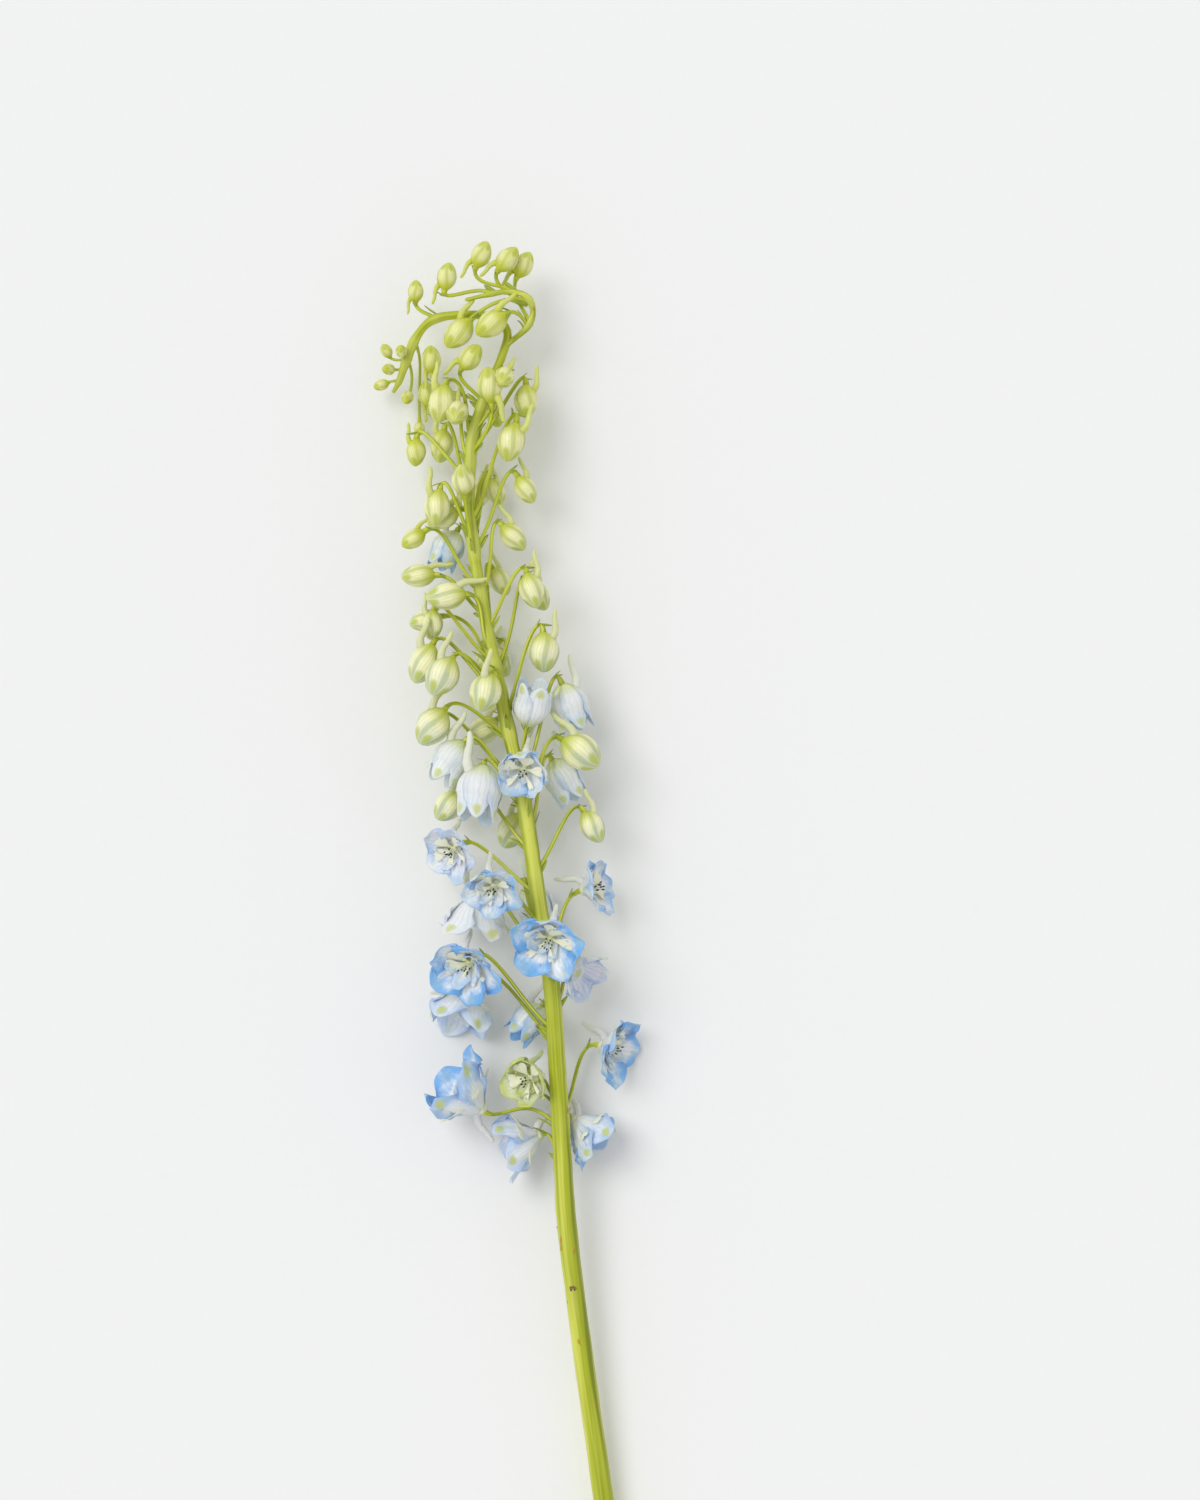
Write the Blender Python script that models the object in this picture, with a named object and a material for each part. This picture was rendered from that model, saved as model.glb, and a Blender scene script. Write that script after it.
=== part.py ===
"""Cut delphinium flower spike that lies on its back on a flat surface.

The spike is drawn in millimetres in its own drawing frame: x runs across, y up the stem from the
cut end, z up from the surface. Blooms are placed by hand along the stem, then they shoulder each
other aside until they are clear, and every pedicel arches from the stem to the base of its bloom.
"""

import math
from dataclasses import dataclass

import bmesh
import bpy
import numpy as np
from mathutils import Matrix, Vector

MM = 0.001
GAP = 0.3
# Where the middle of the whole spike lies in the drawing frame
ORIGIN = (-13.1, 310.5)

# The stem's middle line: x, y, z and thickness, from the cut end to the drooping tip
STEM = (
    (39.5, 0.0, 4.3, 9.2),
    (32.8, 48.0, 7.2, 9.0),
    (26.5, 95.0, 10.4, 8.6),
    (17.2, 162.0, 15.6, 8.2),
    (11.3, 211.0, 19.8, 8.2),
    (9.4, 240.0, 22.0, 7.8),
    (7.4, 275.0, 24.8, 7.2),
    (4.6, 315.0, 27.6, 6.8),
    (-0.6, 348.0, 29.4, 6.4),
    (-6.7, 389.0, 30.8, 6.0),
    (-14.3, 424.0, 31.2, 5.4),
    (-20.2, 452.0, 31.0, 4.8),
    (-25.6, 481.0, 30.4, 4.2),
    (-29.0, 508.0, 29.8, 3.9),
    (-29.0, 525.0, 29.4, 3.8),
    (-28.2, 541.0, 29.0, 3.7),
    (-23.2, 557.0, 28.6, 3.6),
    (-16.0, 574.0, 28.2, 3.6),
    (-13.6, 585.0, 27.8, 3.5),
    (-20.5, 591.0, 27.2, 3.5),
    (-34.0, 592.0, 26.0, 3.5),
    (-45.2, 590.0, 24.0, 3.4),
    (-52.0, 583.0, 21.0, 3.2),
    (-56.5, 573.0, 17.5, 2.6),
    (-59.5, 565.0, 14.0, 2.0),
    (-62.0, 561.0, 11.5, 1.4),
)
# The thin side branch over the top, which carries the highest buds
BRANCH = (
    (-15.5, 578.0, 28.2, 2.4),
    (-5.6, 586.0, 30.0, 2.2),
    (-2.6, 593.5, 31.5, 2.0),
    (-6.0, 599.5, 32.5, 1.9),
    (-13.5, 601.0, 33.0, 1.8),
    (-22.0, 599.6, 33.0, 1.7),
    (-30.5, 597.6, 33.0, 1.6),
)
STEM_SIDES = 2
# Scars of stripped leaves: distance along the stem and turn round it in degrees
SCARS = ((150.0, 200.0), (186.0, 20.0), (205.0, 300.0))
SCAR_SIZE = (2.4, 3.4, 1.3)
SCAR_SUNK = 0.2

PEDICEL_THICKNESS = 1.6
PEDICEL_POINTS = 5
YOUNG_PEDICEL = 0.7
RECEPTACLE = 1.6
SEAT_GAP = 0.75
# How strongly a pedicel leaves the stem and arrives at its bloom, and how much it climbs at first
LEAVING = 0.825
ARRIVING = 1.1
CLIMB = 0.8
# How deep the pedicel of a fused bud runs into it, as a share of the bud
ROOTED = 0.25

# Bracts: length, radius at the foot and at the tip, lean along the stem, and how far up they stand
BRACT = (10.0, 0.75, 0.35)
BRACT_LEAN = 0.5
BRACTS_UP_TO = 290.0

# Buds and bells: shares of their length
LOBE_DEPTH = 0.07
BELL_WAIST = 0.7
BELL_MOUTH = (0.86, 0.93, 0.07)
THROAT = 0.45
BUD_SPUR = ((0.16, 0.25), (0.34, -0.5), (0.1, 0.05))
TINY = 8.0

# Open florets, in millimetres and in shares of a sepal
SEPALS = 5
SEPAL_THICKNESS = 0.8
SEPAL_ROWS = 3
SEPAL_TWIST = 0.13
SEPAL_ROUNDING = 0.14
SEPAL_ROOT = 1.4
SEPAL_FOOT = 1.0
SEPAL_WIDENING = 1.25
SEPAL_SWELL = (0.04, 0.72, 0.8)
CROWDING = 0.56
OVERLAP = 0.3
CORE = (2.8, 2.8, 2.0)
CORE_LIFT = 2.0
OPEN_SPUR = ((2.2, 2.4), (7.6, -11.6), (1.7, 0.8))
INNER_SHARE = 0.56
INNER_WIDTH = 0.42
INNER_TURN = 126.0
INNER_LEAN = (20.0, 30.0)
MIDDLE = 0.6

# Eye: foot, waist, toothed rim, sunk throat and boss, from the bottom up, each with its spread,
# the tooth's spread, its height and the tooth's height
EYE_SIZE = (0.30, 0.36)
EYE_PROFILE = (
    (0.0, 0.0, 0.0, 0.0),
    (0.45, 0.0, 0.25, 0.0),
    (0.8, 0.2, 0.75, 0.25),
    (0.42, 0.0, 0.55, 0.0),
    (0.0, 0.0, 0.85, 0.0),
)

# Stand-in spheres that settle the blooms: place and radius as shares of the bloom
BUD_SPHERES = ((0.22, 0.8), (0.5, 1.02), (0.78, 0.85))
SEPAL_SPHERES = ((0.45, 0.24), (0.84, 0.27))
HEART_SPHERE = (0.4, 0.26)
SPUR_SPHERES = (0.4, 0.7, 1.0)
STALK_SHARES = np.linspace(0.2, 0.9, 7)
STALK_END = 0.75
CLEARANCE = 0.9
PRESSED = 2.4
SETTLING_STEPS = 400
SETTLING_RATE = 0.3
SETTLING_RANGE = 14.0
LONGEST_STEP = 0.8
BEND = 0.9
NUDGE = 0.3
SHOULDER = 0.6
FIRM_BUD = 0.95
FIRM_SEPAL = 0.3
YIELD = np.array([0.6, 0.6, 1.0])

# Faces that lie flatter to each other than this are one face
FLAT = math.radians(1.0)
SHARP = math.radians(50.0)


@dataclass(frozen=True)
class Form:
    """How far a bloom has opened: a closed one is a plump lobed body, an open one has spread sepals."""

    plump: float = 0.0
    mouth: bool = False
    lean: tuple = (0.0, 0.0)
    breadth: float = 0.0
    cupping: float = 0.0
    inner_petals: int = 0
    eye: bool = False


GREEN = Form(plump=0.36)
BUD = Form(plump=0.35)
SWOLLEN = Form(plump=0.40)
BELL = Form(plump=0.37, mouth=True)
PALE = Form(lean=(44, 26), breadth=0.62, cupping=0.6)
HALF = Form(lean=(68, 14), breadth=0.72, cupping=0.6)
CUP = Form(lean=(68, 14), breadth=0.80, cupping=0.6, eye=True)
TRUMPET = Form(lean=(44, 26), breadth=0.62, cupping=0.6, eye=True)
OPEN = Form(lean=(50, 84), breadth=0.78, cupping=0.9, eye=True)
FULL = Form(lean=(52, 80), breadth=0.80, cupping=0.85, inner_petals=3, eye=True)


@dataclass(frozen=True)
class Bloom:
    """One bud or floret, and where it grows.

    Size is a bud's length, or the width across an open floret. x and y are its middle, and lift is
    its height over the stem's line. Heading turns from +x to +y and rise tips the mouth up from the
    surface. Leaves is how far along the stem its pedicel starts.
    """

    node: str
    form: Form
    size: float
    x: float
    y: float
    lift: float
    heading: float
    rise: float
    leaves: float
    on_branch: bool = False


BLOOMS = (
    # Open florets, from the lowest up
    Bloom("floret_01", TRUMPET, 28, -9, 247, -7, 200, 4, 238),
    Bloom("floret_02", TRUMPET, 33, -31, 270, 0, 138, 8, 254),
    Bloom("floret_03", CUP, 22, -4, 273, -1, 205, 50, 264),
    Bloom("floret_04", TRUMPET, 31, -34, 298, -10, 250, 14, 290),
    Bloom("floret_05", FULL, 36, -32, 321, 8, 235, 50, 295),
    Bloom("floret_06", FULL, 35, 5, 331, 19, 250, 62, 315),
    Bloom("floret_07", OPEN, 29, -19, 353, 16, 250, 55, 340),
    Bloom("floret_08", OPEN, 29, -37, 370, 2, 222, 48, 353),
    Bloom("floret_09", CUP, 21, -7.6, 401, 15, 250, 65, 385),
    Bloom("floret_10", TRUMPET, 27, 20, 248, -13, 318, 0, 222),
    Bloom("floret_11", FULL, 33, 30, 284, -11, 345, 25, 258),
    Bloom("floret_12", OPEN, 29, 22, 352, -5, 12, 20, 328),
    # Half-open blooms
    Bloom("bell_01", BELL, 18, -5, 296, -9, 228, 12, 280),
    Bloom("bell_02", PALE, 28, -25, 339, -10, 262, -14, 326),
    Bloom("bell_03", HALF, 22, 17, 316, 3, 322, 32, 304),
    Bloom("bell_04", BELL, 24, -25.6, 392, 8, 262, 12, 390),
    Bloom("bell_05", BELL, 20, -38.6, 407, 2, 234, 6, 397),
    Bloom("bell_06", BELL, 20, -2.5, 429, 5, 76, 20, 408),
    Bloom("bell_07", BELL, 17, -38.6, 494, -11, 244, 8, 478),
    Bloom("bell_08", BELL, 20, 10, 397, -8, 300, 0, 380),
    Bloom("bell_09", BELL, 21, 12, 427, -4, 288, 0, 400),
    Bloom("bell_10", BELL, 20, -2, 344, -20, 290, -8, 322),
    # Buds down the left side and over the stem
    Bloom("bud_01", SWOLLEN, 15, -37, 385, -11, 225, 0, 372),
    Bloom("bud_02", GREEN, 12, -48, 412, -9, 250, 0, 402),
    Bloom("bud_02", SWOLLEN, 18, -40, 424, -4, 235, 5, 420),
    Bloom("bud_03", SWOLLEN, 17, -22, 434, 14, 250, 10, 422),
    Bloom("bud_04", SWOLLEN, 18, -38.6, 438.5, 7, 240, 8, 441),
    Bloom("bud_04", BUD, 18, -48.7, 447, 0, 245, 5, 438),
    Bloom("bud_05", BUD, 13.5, -50, 464, -6, 195, 0, 450),
    Bloom("bud_05", BUD, 13, -40.7, 463, -5, 265, 5, 452),
    Bloom("bud_06", BUD, 17, -38.6, 474, 6, 185, 5, 457),
    Bloom("bud_07", BUD, 14.5, -50.8, 483.4, -6, 182, 0, 472),
    Bloom("bud_08", BUD, 14.5, -37, 505.7, -1, 205, 5, 490),
    Bloom("bud_08", BUD, 16, -43.3, 514, 5, 262, 5, 505),
    Bloom("bud_09", BUD, 14, -32.8, 520.4, 11, 95, 30, 498),
    Bloom("bud_10", BUD, 14.5, -41, 538, -10, 262, 0, 522),
    Bloom("bud_11", BUD, 14, -33.6, 549, 9, 255, 60, 536),
    Bloom("bud_11", BUD, 16.5, -40.5, 556, 3, 258, 5, 546),
    Bloom("bud_12", BUD, 15.5, -21.8, 560, 13, 97, 10, 540),
    Bloom("bud_12", BUD, 12.5, -13.6, 566, 8, 250, 60, 550),
    # Buds on the right side
    Bloom("bud_13", BUD, 15, 22, 378, -1, 300, 5, 362),
    Bloom("bud_14", SWOLLEN, 19, 17, 410, 3, 325, 5, 392),
    Bloom("bud_15", SWOLLEN, 17, 1, 451, 3, 272, 5, 430),
    Bloom("bud_16", BUD, 14, 3, 469, -6, 300, 0, 449),
    Bloom("bud_16", BUD, 15.5, -7, 482, 1, 285, 5, 466),
    Bloom("bud_17", BUD, 14, -11, 499, -3, 312, 0, 481),
    Bloom("bud_18", BUD, 13, -6, 519, -4, 300, 0, 500),
    Bloom("bud_19", BUD, 17, -12.6, 539, 2, 256, 5, 512),
    Bloom("bud_20", BUD, 14.5, -6, 556, -2, 270, 5, 542),
    # Buds behind the stem
    Bloom("bud_21", SWOLLEN, 16, -12, 376, -16, 245, -5, 358),
    Bloom("bud_22", SWOLLEN, 15, -24, 418, -15, 220, 0, 403),
    Bloom("bud_23", BUD, 15, -10, 446, -21, 300, -4, 425),
    Bloom("bud_23", BUD, 14, -27, 453, -21, 235, -4, 438),
    Bloom("bud_24", BUD, 13, -17, 481, -15, 300, 0, 462),
    Bloom("bud_25", BUD, 13, -30, 518, -15, 245, 0, 500),
    Bloom("bud_25", BUD, 12, -18, 519, -14, 295, 0, 504),
    # Small green buds, grown together with the stem
    Bloom("stem", GREEN, 12, -19, 552, -14, 280, 0, 535),
    Bloom("stem", GREEN, 11.5, -52.9, 498.5, -7, 215, 0, 484),
    Bloom("stem", GREEN, 13, -28.6, 575, 7, 50, 20, 562),
    Bloom("stem", GREEN, 15.5, -21.8, 586, 9, 215, 5, 14, True),
    Bloom("stem", GREEN, 15.5, -32.3, 583.4, 9, 228, 5, 26, True),
    Bloom("stem", GREEN, 11, -48.5, 560, -6, 100, 0, 553),
    Bloom("stem", GREEN, 12, -46, 574, 0, 95, 5, 560),
    Bloom("stem", GREEN, 12, -7.6, 613, 1, 62, 0, 16, True),
    Bloom("stem", GREEN, 12.5, -14.3, 615, 6, 50, 5, 25, True),
    Bloom("stem", GREEN, 12, -24.8, 615, 6, 66, 5, 34, True),
    Bloom("stem", GREEN, 12, -37, 607, 6, 80, 5, 42, True),
    Bloom("stem", GREEN, 9.5, -52, 602, 0, 88, 5, 626),
    Bloom("stem", GREEN, 7, -64.5, 577.5, 2, 120, 30, 648),
    Bloom("stem", GREEN, 7, -58, 577, 6, 100, 60, 642),
    Bloom("stem", GREEN, 7, -63.5, 570, 4, 180, 50, 652),
    Bloom("stem", GREEN, 7, -67, 564, 0, 200, 10, 658),
    Bloom("stem", GREEN, 7.5, -56, 558.5, 2, 250, 50, 648),
    Bloom("stem", GREEN, 7, -50.8, 546, -4, 270, 40, 640),
    Bloom("stem", GREEN, 12, -52, 535, -8, 268, 0, 528),
)


@dataclass(frozen=True)
class Line:
    """A smooth line through hand-placed points, read by the distance along it."""

    points: np.ndarray
    lengths: np.ndarray

    @classmethod
    def through(cls, knots, step):
        """Catmull-Rom line through the knots with a point about every step."""
        knots = np.array(knots, dtype=float)
        ends = np.vstack((2 * knots[0] - knots[1], knots, 2 * knots[-1] - knots[-2]))
        points = [knots[0]]
        for before, start, end, after in zip(ends, ends[1:], ends[2:], ends[3:]):
            count = max(1, round(np.linalg.norm(end[:3] - start[:3]) / step))
            for part in np.arange(1, count + 1) / count:
                bend = (2 * before - 5 * start + 4 * end - after) * part**2
                swing = (3 * start - before - 3 * end + after) * part**3
                points.append(0.5 * (2 * start + (end - before) * part + bend + swing))
        points = np.array(points)
        runs = np.linalg.norm(np.diff(points[:, :3], axis=0), axis=1)
        return cls(points, np.concatenate(([0.0], np.cumsum(runs))))

    def at(self, distance):
        """Position and thickness at a distance along the line."""
        return np.array([np.interp(distance, self.lengths, column) for column in self.points.T])

    def direction(self, distance):
        """Way the line runs at a distance along it."""
        ahead = self.at(distance + 1.5) - self.at(distance - 1.5)
        return ahead[:3] / np.linalg.norm(ahead[:3])


def unit(vector):
    """The vector at length 1."""
    return vector / np.linalg.norm(vector)


def sepal_length(bloom):
    """Length of a sepal that gives an open bloom its width across."""
    leans = np.radians(np.linspace(*bloom.form.lean, 9))
    return (bloom.size / 2 - SEPAL_ROOT) / np.sin(leans).mean()


def sepal_line(form, length, share):
    """Distance from the axis, height over the base and lean of a sepal's middle at a share of its length."""
    steps = np.linspace(0.0, share, 9)
    leans = np.radians(form.lean[0] + (form.lean[1] - form.lean[0]) * steps)
    out = SEPAL_ROOT + length * share * np.sin(leans).mean()
    up = SEPAL_FOOT + length * share * np.cos(leans).mean()
    return out, up, leans[-1]


def middle_height(bloom):
    """Height of a bloom's middle over its base, along its axis."""
    if bloom.form.plump:
        return bloom.size / 2
    return sepal_line(bloom.form, sepal_length(bloom), MIDDLE)[1]


def spur_ends(bloom):
    """Root and tip of the spur in the bloom's own frame, with both radii."""
    scale = bloom.size if bloom.form.plump else 1.0
    root, tip, radii = np.array(BUD_SPUR if bloom.form.plump else OPEN_SPUR) * scale
    return np.insert(root, 0, 0.0), np.insert(tip, 0, 0.0), *radii


def has_spur(bloom):
    """Only the tiniest buds are still too young for a spur."""
    return bloom.size > TINY


def stand_in_spheres(bloom):
    """Spheres that fill a bloom, in its own frame: their centres, radii and whether they are the spur's."""
    size = bloom.size
    spheres = []
    if bloom.form.plump:
        radius = bloom.form.plump * size
        for share, part in BUD_SPHERES:
            spheres.append((0, 0, share * size, part * radius, False))
    else:
        length = sepal_length(bloom)
        for index in range(SEPALS):
            turn = math.radians(90 + 360 * index / SEPALS)
            for share, part in SEPAL_SPHERES:
                out, up, _ = sepal_line(bloom.form, length, share)
                spheres.append((out * math.cos(turn), out * math.sin(turn), up, part * length, False))
        share, part = HEART_SPHERE
        spheres.append((0, 0, sepal_line(bloom.form, length, share)[1], part * length, False))
    if has_spur(bloom):
        root, tip, thick, thin = spur_ends(bloom)
        for share in SPUR_SPHERES:
            spheres.append((*(root + (tip - root) * share), thick + (thin - thick) * share, True))
    return spheres


def sway(shares):
    """How far a bowed pedicel swings out at shares of its way, 1 at its middle."""
    return 16 * shares**2 * (1 - shares) ** 2


class Raceme:
    """All blooms with their places, and the pedicels that reach them."""

    def __init__(self, blooms, stem, branch):
        self.blooms = blooms
        lines = [branch if bloom.on_branch else stem for bloom in blooms]
        self.feet = np.array([line.at(bloom.leaves)[:3] for bloom, line in zip(blooms, lines)])
        self.up_stem = np.array([line.direction(bloom.leaves) for bloom, line in zip(blooms, lines)])
        self.middles = np.array([self.drawn_middle(bloom, stem) for bloom in blooms])
        self.drawn = self.middles.copy()
        self.axes = np.array([self.drawn_axis(bloom) for bloom in blooms])
        self.depths = np.array([middle_height(bloom) for bloom in blooms])
        self.bows = np.zeros_like(self.middles)
        self.frames = np.array([self.frame(index) for index in range(len(blooms))])
        self.posts = np.vstack((stem.points, branch.points))

    @staticmethod
    def drawn_middle(bloom, stem):
        """The bloom's middle as drawn, at its lift over the stem beside it."""
        nearest = np.argmin(np.hypot(stem.points[:, 0] - bloom.x, stem.points[:, 1] - bloom.y))
        return np.array([bloom.x, bloom.y, stem.points[nearest, 2] + bloom.lift])

    @staticmethod
    def drawn_axis(bloom):
        """The way the bloom's mouth points."""
        heading, rise = math.radians(bloom.heading), math.radians(bloom.rise)
        level = math.cos(rise)
        return np.array([level * math.cos(heading), level * math.sin(heading), math.sin(rise)])

    def frame(self, index):
        """Columns of a bloom's own frame: sideways, towards its spur, and along its axis."""
        axis = self.axes[index]
        inward = self.feet[index] - self.bases()[index]
        spurward = unit(-(inward - axis * inward.dot(axis)))
        return np.column_stack((np.cross(spurward, axis), spurward, axis))

    def bases(self):
        """Where each bloom sits on its pedicel."""
        return self.middles - self.axes * self.depths[:, None]

    def pedicels(self, shares):
        """Points on every pedicel at shares of its way from the stem to the bloom."""
        ends = self.bases() - self.axes * SEAT_GAP
        reach = ends - self.feet
        spans = np.linalg.norm(reach, axis=1)[:, None]
        outward = reach - self.up_stem * np.sum(reach * self.up_stem, axis=1)[:, None]
        outward /= np.linalg.norm(outward, axis=1)[:, None]
        leaving = (outward + CLIMB * self.up_stem) * spans * LEAVING
        arriving = self.axes * spans * ARRIVING
        share = np.asarray(shares, dtype=float)[:, None, None]
        start = (2 * share**3 - 3 * share**2 + 1) * self.feet + (share**3 - 2 * share**2 + share) * leaving
        finish = (3 * share**2 - 2 * share**3) * ends + (share**3 - share**2) * arriving
        return start + finish + sway(share) * self.bows

    def spheres(self):
        """Every bloom's stand-in spheres: owner, place from the middle, radius and whether it is a spur's."""
        owners, places, radii, spurs = [], [], [], []
        for index, bloom in enumerate(self.blooms):
            for *place, radius, spur in stand_in_spheres(bloom):
                owners.append(index)
                places.append(self.frames[index] @ (np.array(place) - (0, 0, self.depths[index])))
                radii.append(radius)
                spurs.append(spur)
        return (np.array(values) for values in (owners, places, radii, spurs))

    def settle(self):
        """Let blooms, pedicels, stem and surface push each other clear, more in depth than across."""
        owners, places, radii, spurs = self.spheres()
        nodes = np.array([bloom.node for bloom in self.blooms])
        closed = np.array([bloom.form.plump > 0 for bloom in self.blooms])
        firm = radii * np.where(closed[owners], FIRM_BUD, FIRM_SEPAL)
        count = len(self.blooms)
        swing = np.repeat(sway(STALK_SHARES), count)
        carriers = np.tile(np.arange(count), len(STALK_SHARES))
        late = np.repeat(STALK_SHARES > STALK_END, count)
        spheres = self.middles[owners] + places
        stalks = self.pedicels(STALK_SHARES).reshape(-1, 3)

        mates = (nodes[owners][:, None] == nodes[owners]) & (nodes[owners] != "stem")
        reach = radii[:, None] + radii + np.where(mates, -PRESSED, CLEARANCE)
        side_by_side = contacts(spheres, spheres, reach, np.triu(owners[:, None] != owners))
        reach_side = reach[side_by_side]
        reach = np.broadcast_to(radii + PEDICEL_THICKNESS / 2 + CLEARANCE, (len(stalks), len(spheres)))
        own = (carriers[:, None] == owners) & (late[:, None] | spurs)
        crossing = contacts(stalks, spheres, reach, ~own)
        reach_crossing = reach[crossing]
        reach = radii[:, None] + self.posts[:, 3] / 2 + CLEARANCE
        on_post = contacts(spheres, self.posts[:, :3], reach, np.full(reach.shape, True))
        reach_post = reach[on_post]

        for _ in range(SETTLING_STEPS):
            spheres = self.middles[owners] + places
            stalks = self.pedicels(STALK_SHARES).reshape(-1, 3)
            shift, bow = np.zeros_like(self.middles), np.zeros_like(self.bows)
            force = press(spheres, spheres, side_by_side, reach_side) / 2
            np.add.at(shift, owners[side_by_side[0]], force)
            np.add.at(shift, owners[side_by_side[1]], -force)
            force = press(stalks, spheres, crossing, reach_crossing)
            np.add.at(bow, carriers[crossing[0]], BEND * swing[crossing[0]][:, None] * force)
            np.add.at(shift, owners[crossing[1]], -NUDGE * force)
            force = press(spheres, self.posts[:, :3], on_post, reach_post)
            np.add.at(shift, owners[on_post[0]], SHOULDER * force)
            np.add.at(shift[:, 2], owners, np.maximum(firm - spheres[:, 2], 0.0))
            low = np.maximum(PEDICEL_THICKNESS / 2 + CLEARANCE - stalks[:, 2], 0.0)
            np.add.at(bow[:, 2], carriers, low * swing)
            self.lean_on_mates(nodes, shift)
            self.middles += np.clip(SETTLING_RATE * shift, -LONGEST_STEP, LONGEST_STEP) * YIELD
            self.bows += np.clip(SETTLING_RATE * bow, -LONGEST_STEP, LONGEST_STEP)

    def lean_on_mates(self, nodes, shift):
        """Blooms that share a node lean on each other."""
        for node in sorted(set(nodes) - {"stem"}):
            pair = np.flatnonzero(nodes == node)
            if len(pair) == 2:
                lean = NUDGE * unit(self.middles[pair[1]] - self.middles[pair[0]])
                shift[pair[0]] += lean
                shift[pair[1]] -= lean


def contacts(first, second, reach, allowed):
    """Pairs that may touch while the blooms settle."""
    space = np.linalg.norm(first[:, None] - second, axis=2)
    return np.nonzero(allowed & (space < reach + SETTLING_RANGE))


def press(first, second, pairs, reach):
    """How deep each pair is pressed together, as a vector from the second to the first."""
    away = first[pairs[0]] - second[pairs[1]]
    space = np.linalg.norm(away, axis=1) + 1e-6
    return away * (np.maximum(reach - space, 0.0) / space)[:, None]


def mesh_from(bm, name):
    """Turn a bmesh into a mesh."""
    mesh = bpy.data.meshes.new(name)
    bm.to_mesh(mesh)
    bm.free()
    return mesh


def fuse(meshes):
    """Join closed meshes that run into each other in one Boolean union."""
    first, *others = [bpy.data.objects.new("piece", mesh) for mesh in meshes]
    joining = bpy.data.collections.new("joining")
    bpy.context.scene.collection.objects.link(first)
    bpy.context.scene.collection.children.link(joining)
    for other in others:
        joining.objects.link(other)
    union = first.modifiers.new("union", "BOOLEAN")
    union.operation = "UNION"
    union.solver = "EXACT"
    union.operand_type = "COLLECTION"
    union.collection = joining
    joined = bpy.data.meshes.new_from_object(first.evaluated_get(bpy.context.evaluated_depsgraph_get()))
    for piece in (first, *others):
        bpy.data.objects.remove(piece)
    bpy.data.collections.remove(joining)
    bm = bmesh.new()
    bm.from_mesh(joined)
    bmesh.ops.dissolve_limit(bm, angle_limit=FLAT, verts=bm.verts, edges=bm.edges)
    bmesh.ops.triangulate(bm, faces=bm.faces)
    bm.to_mesh(joined)
    bm.free()
    return joined


def tube(points, thicknesses, sides=0):
    """Closed tube along points, as thick as given at each."""
    curve = bpy.data.curves.new("tube", "CURVE")
    curve.dimensions = "3D"
    curve.bevel_depth = 0.5
    curve.bevel_resolution = sides
    curve.use_fill_caps = True
    spline = curve.splines.new("POLY")
    spline.points.add(len(points) - 1)
    for knot, point, thickness in zip(spline.points, points, thicknesses):
        knot.co = (*point, 1.0)
        knot.radius = thickness
    line = bpy.data.objects.new("tube", curve)
    bpy.context.scene.collection.objects.link(line)
    mesh = bpy.data.meshes.new_from_object(line.evaluated_get(bpy.context.evaluated_depsgraph_get()))
    bpy.data.objects.remove(line)
    bm = bmesh.new()
    bm.from_mesh(mesh)
    bmesh.ops.remove_doubles(bm, verts=bm.verts, dist=0.001)
    bmesh.ops.recalc_face_normals(bm, faces=bm.faces)
    bm.to_mesh(mesh)
    bm.free()
    return mesh


def spike(start, end, root_radius, tip_radius, sides):
    """Tapering cone from one point to another."""
    start, end = Vector(start), Vector(end)
    bm = bmesh.new()
    bmesh.ops.create_cone(
        bm, cap_ends=True, segments=sides, radius1=root_radius, radius2=tip_radius, depth=(end - start).length
    )
    turn = (end - start).to_track_quat("Z", "Y").to_matrix().to_4x4()
    bmesh.ops.transform(bm, matrix=Matrix.Translation((start + end) / 2) @ turn, verts=bm.verts)
    return mesh_from(bm, "spike")


def ball(radii, height, segments=6, rings=4):
    """Rounded core on the axis, at a height."""
    bm = bmesh.new()
    bmesh.ops.create_uvsphere(bm, u_segments=segments, v_segments=rings, radius=1.0)
    bmesh.ops.scale(bm, vec=radii, verts=bm.verts)
    bmesh.ops.translate(bm, vec=(0, 0, height), verts=bm.verts)
    return mesh_from(bm, "ball")


def closed_bloom(bloom):
    """Lobed bud with its base at the origin, or a bell whose mouth is sunk in."""
    size, radius = bloom.size, bloom.form.plump * bloom.size
    segments, rings, depth = (6, 4, 0.0) if bloom.node == "stem" else (2 * SEPALS, 5, LOBE_DEPTH)
    bm = bmesh.new()
    bmesh.ops.create_uvsphere(bm, u_segments=segments, v_segments=rings, radius=1.0)
    for vertex in bm.verts:
        share = math.acos(max(-1.0, min(1.0, -vertex.co.z))) / math.pi
        turn = math.atan2(vertex.co.y, vertex.co.x)
        lobe = math.cos(SEPALS * (turn - math.pi / 2))
        swell = math.sin(math.pi * share**0.9) ** 0.75 if 0.001 < share < 0.999 else 0.0
        height = share
        if bloom.form.mouth and share > 0.99:
            height = THROAT
        elif bloom.form.mouth and share > BELL_WAIST:
            swell, rim, tooth = BELL_MOUTH
            height = rim + tooth * lobe
        out = swell * radius * (1 + depth * lobe)
        vertex.co = (out * math.cos(turn), out * math.sin(turn), size * height)
    bmesh.ops.triangulate(bm, faces=bm.faces)
    return mesh_from(bm, "bud")


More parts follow.
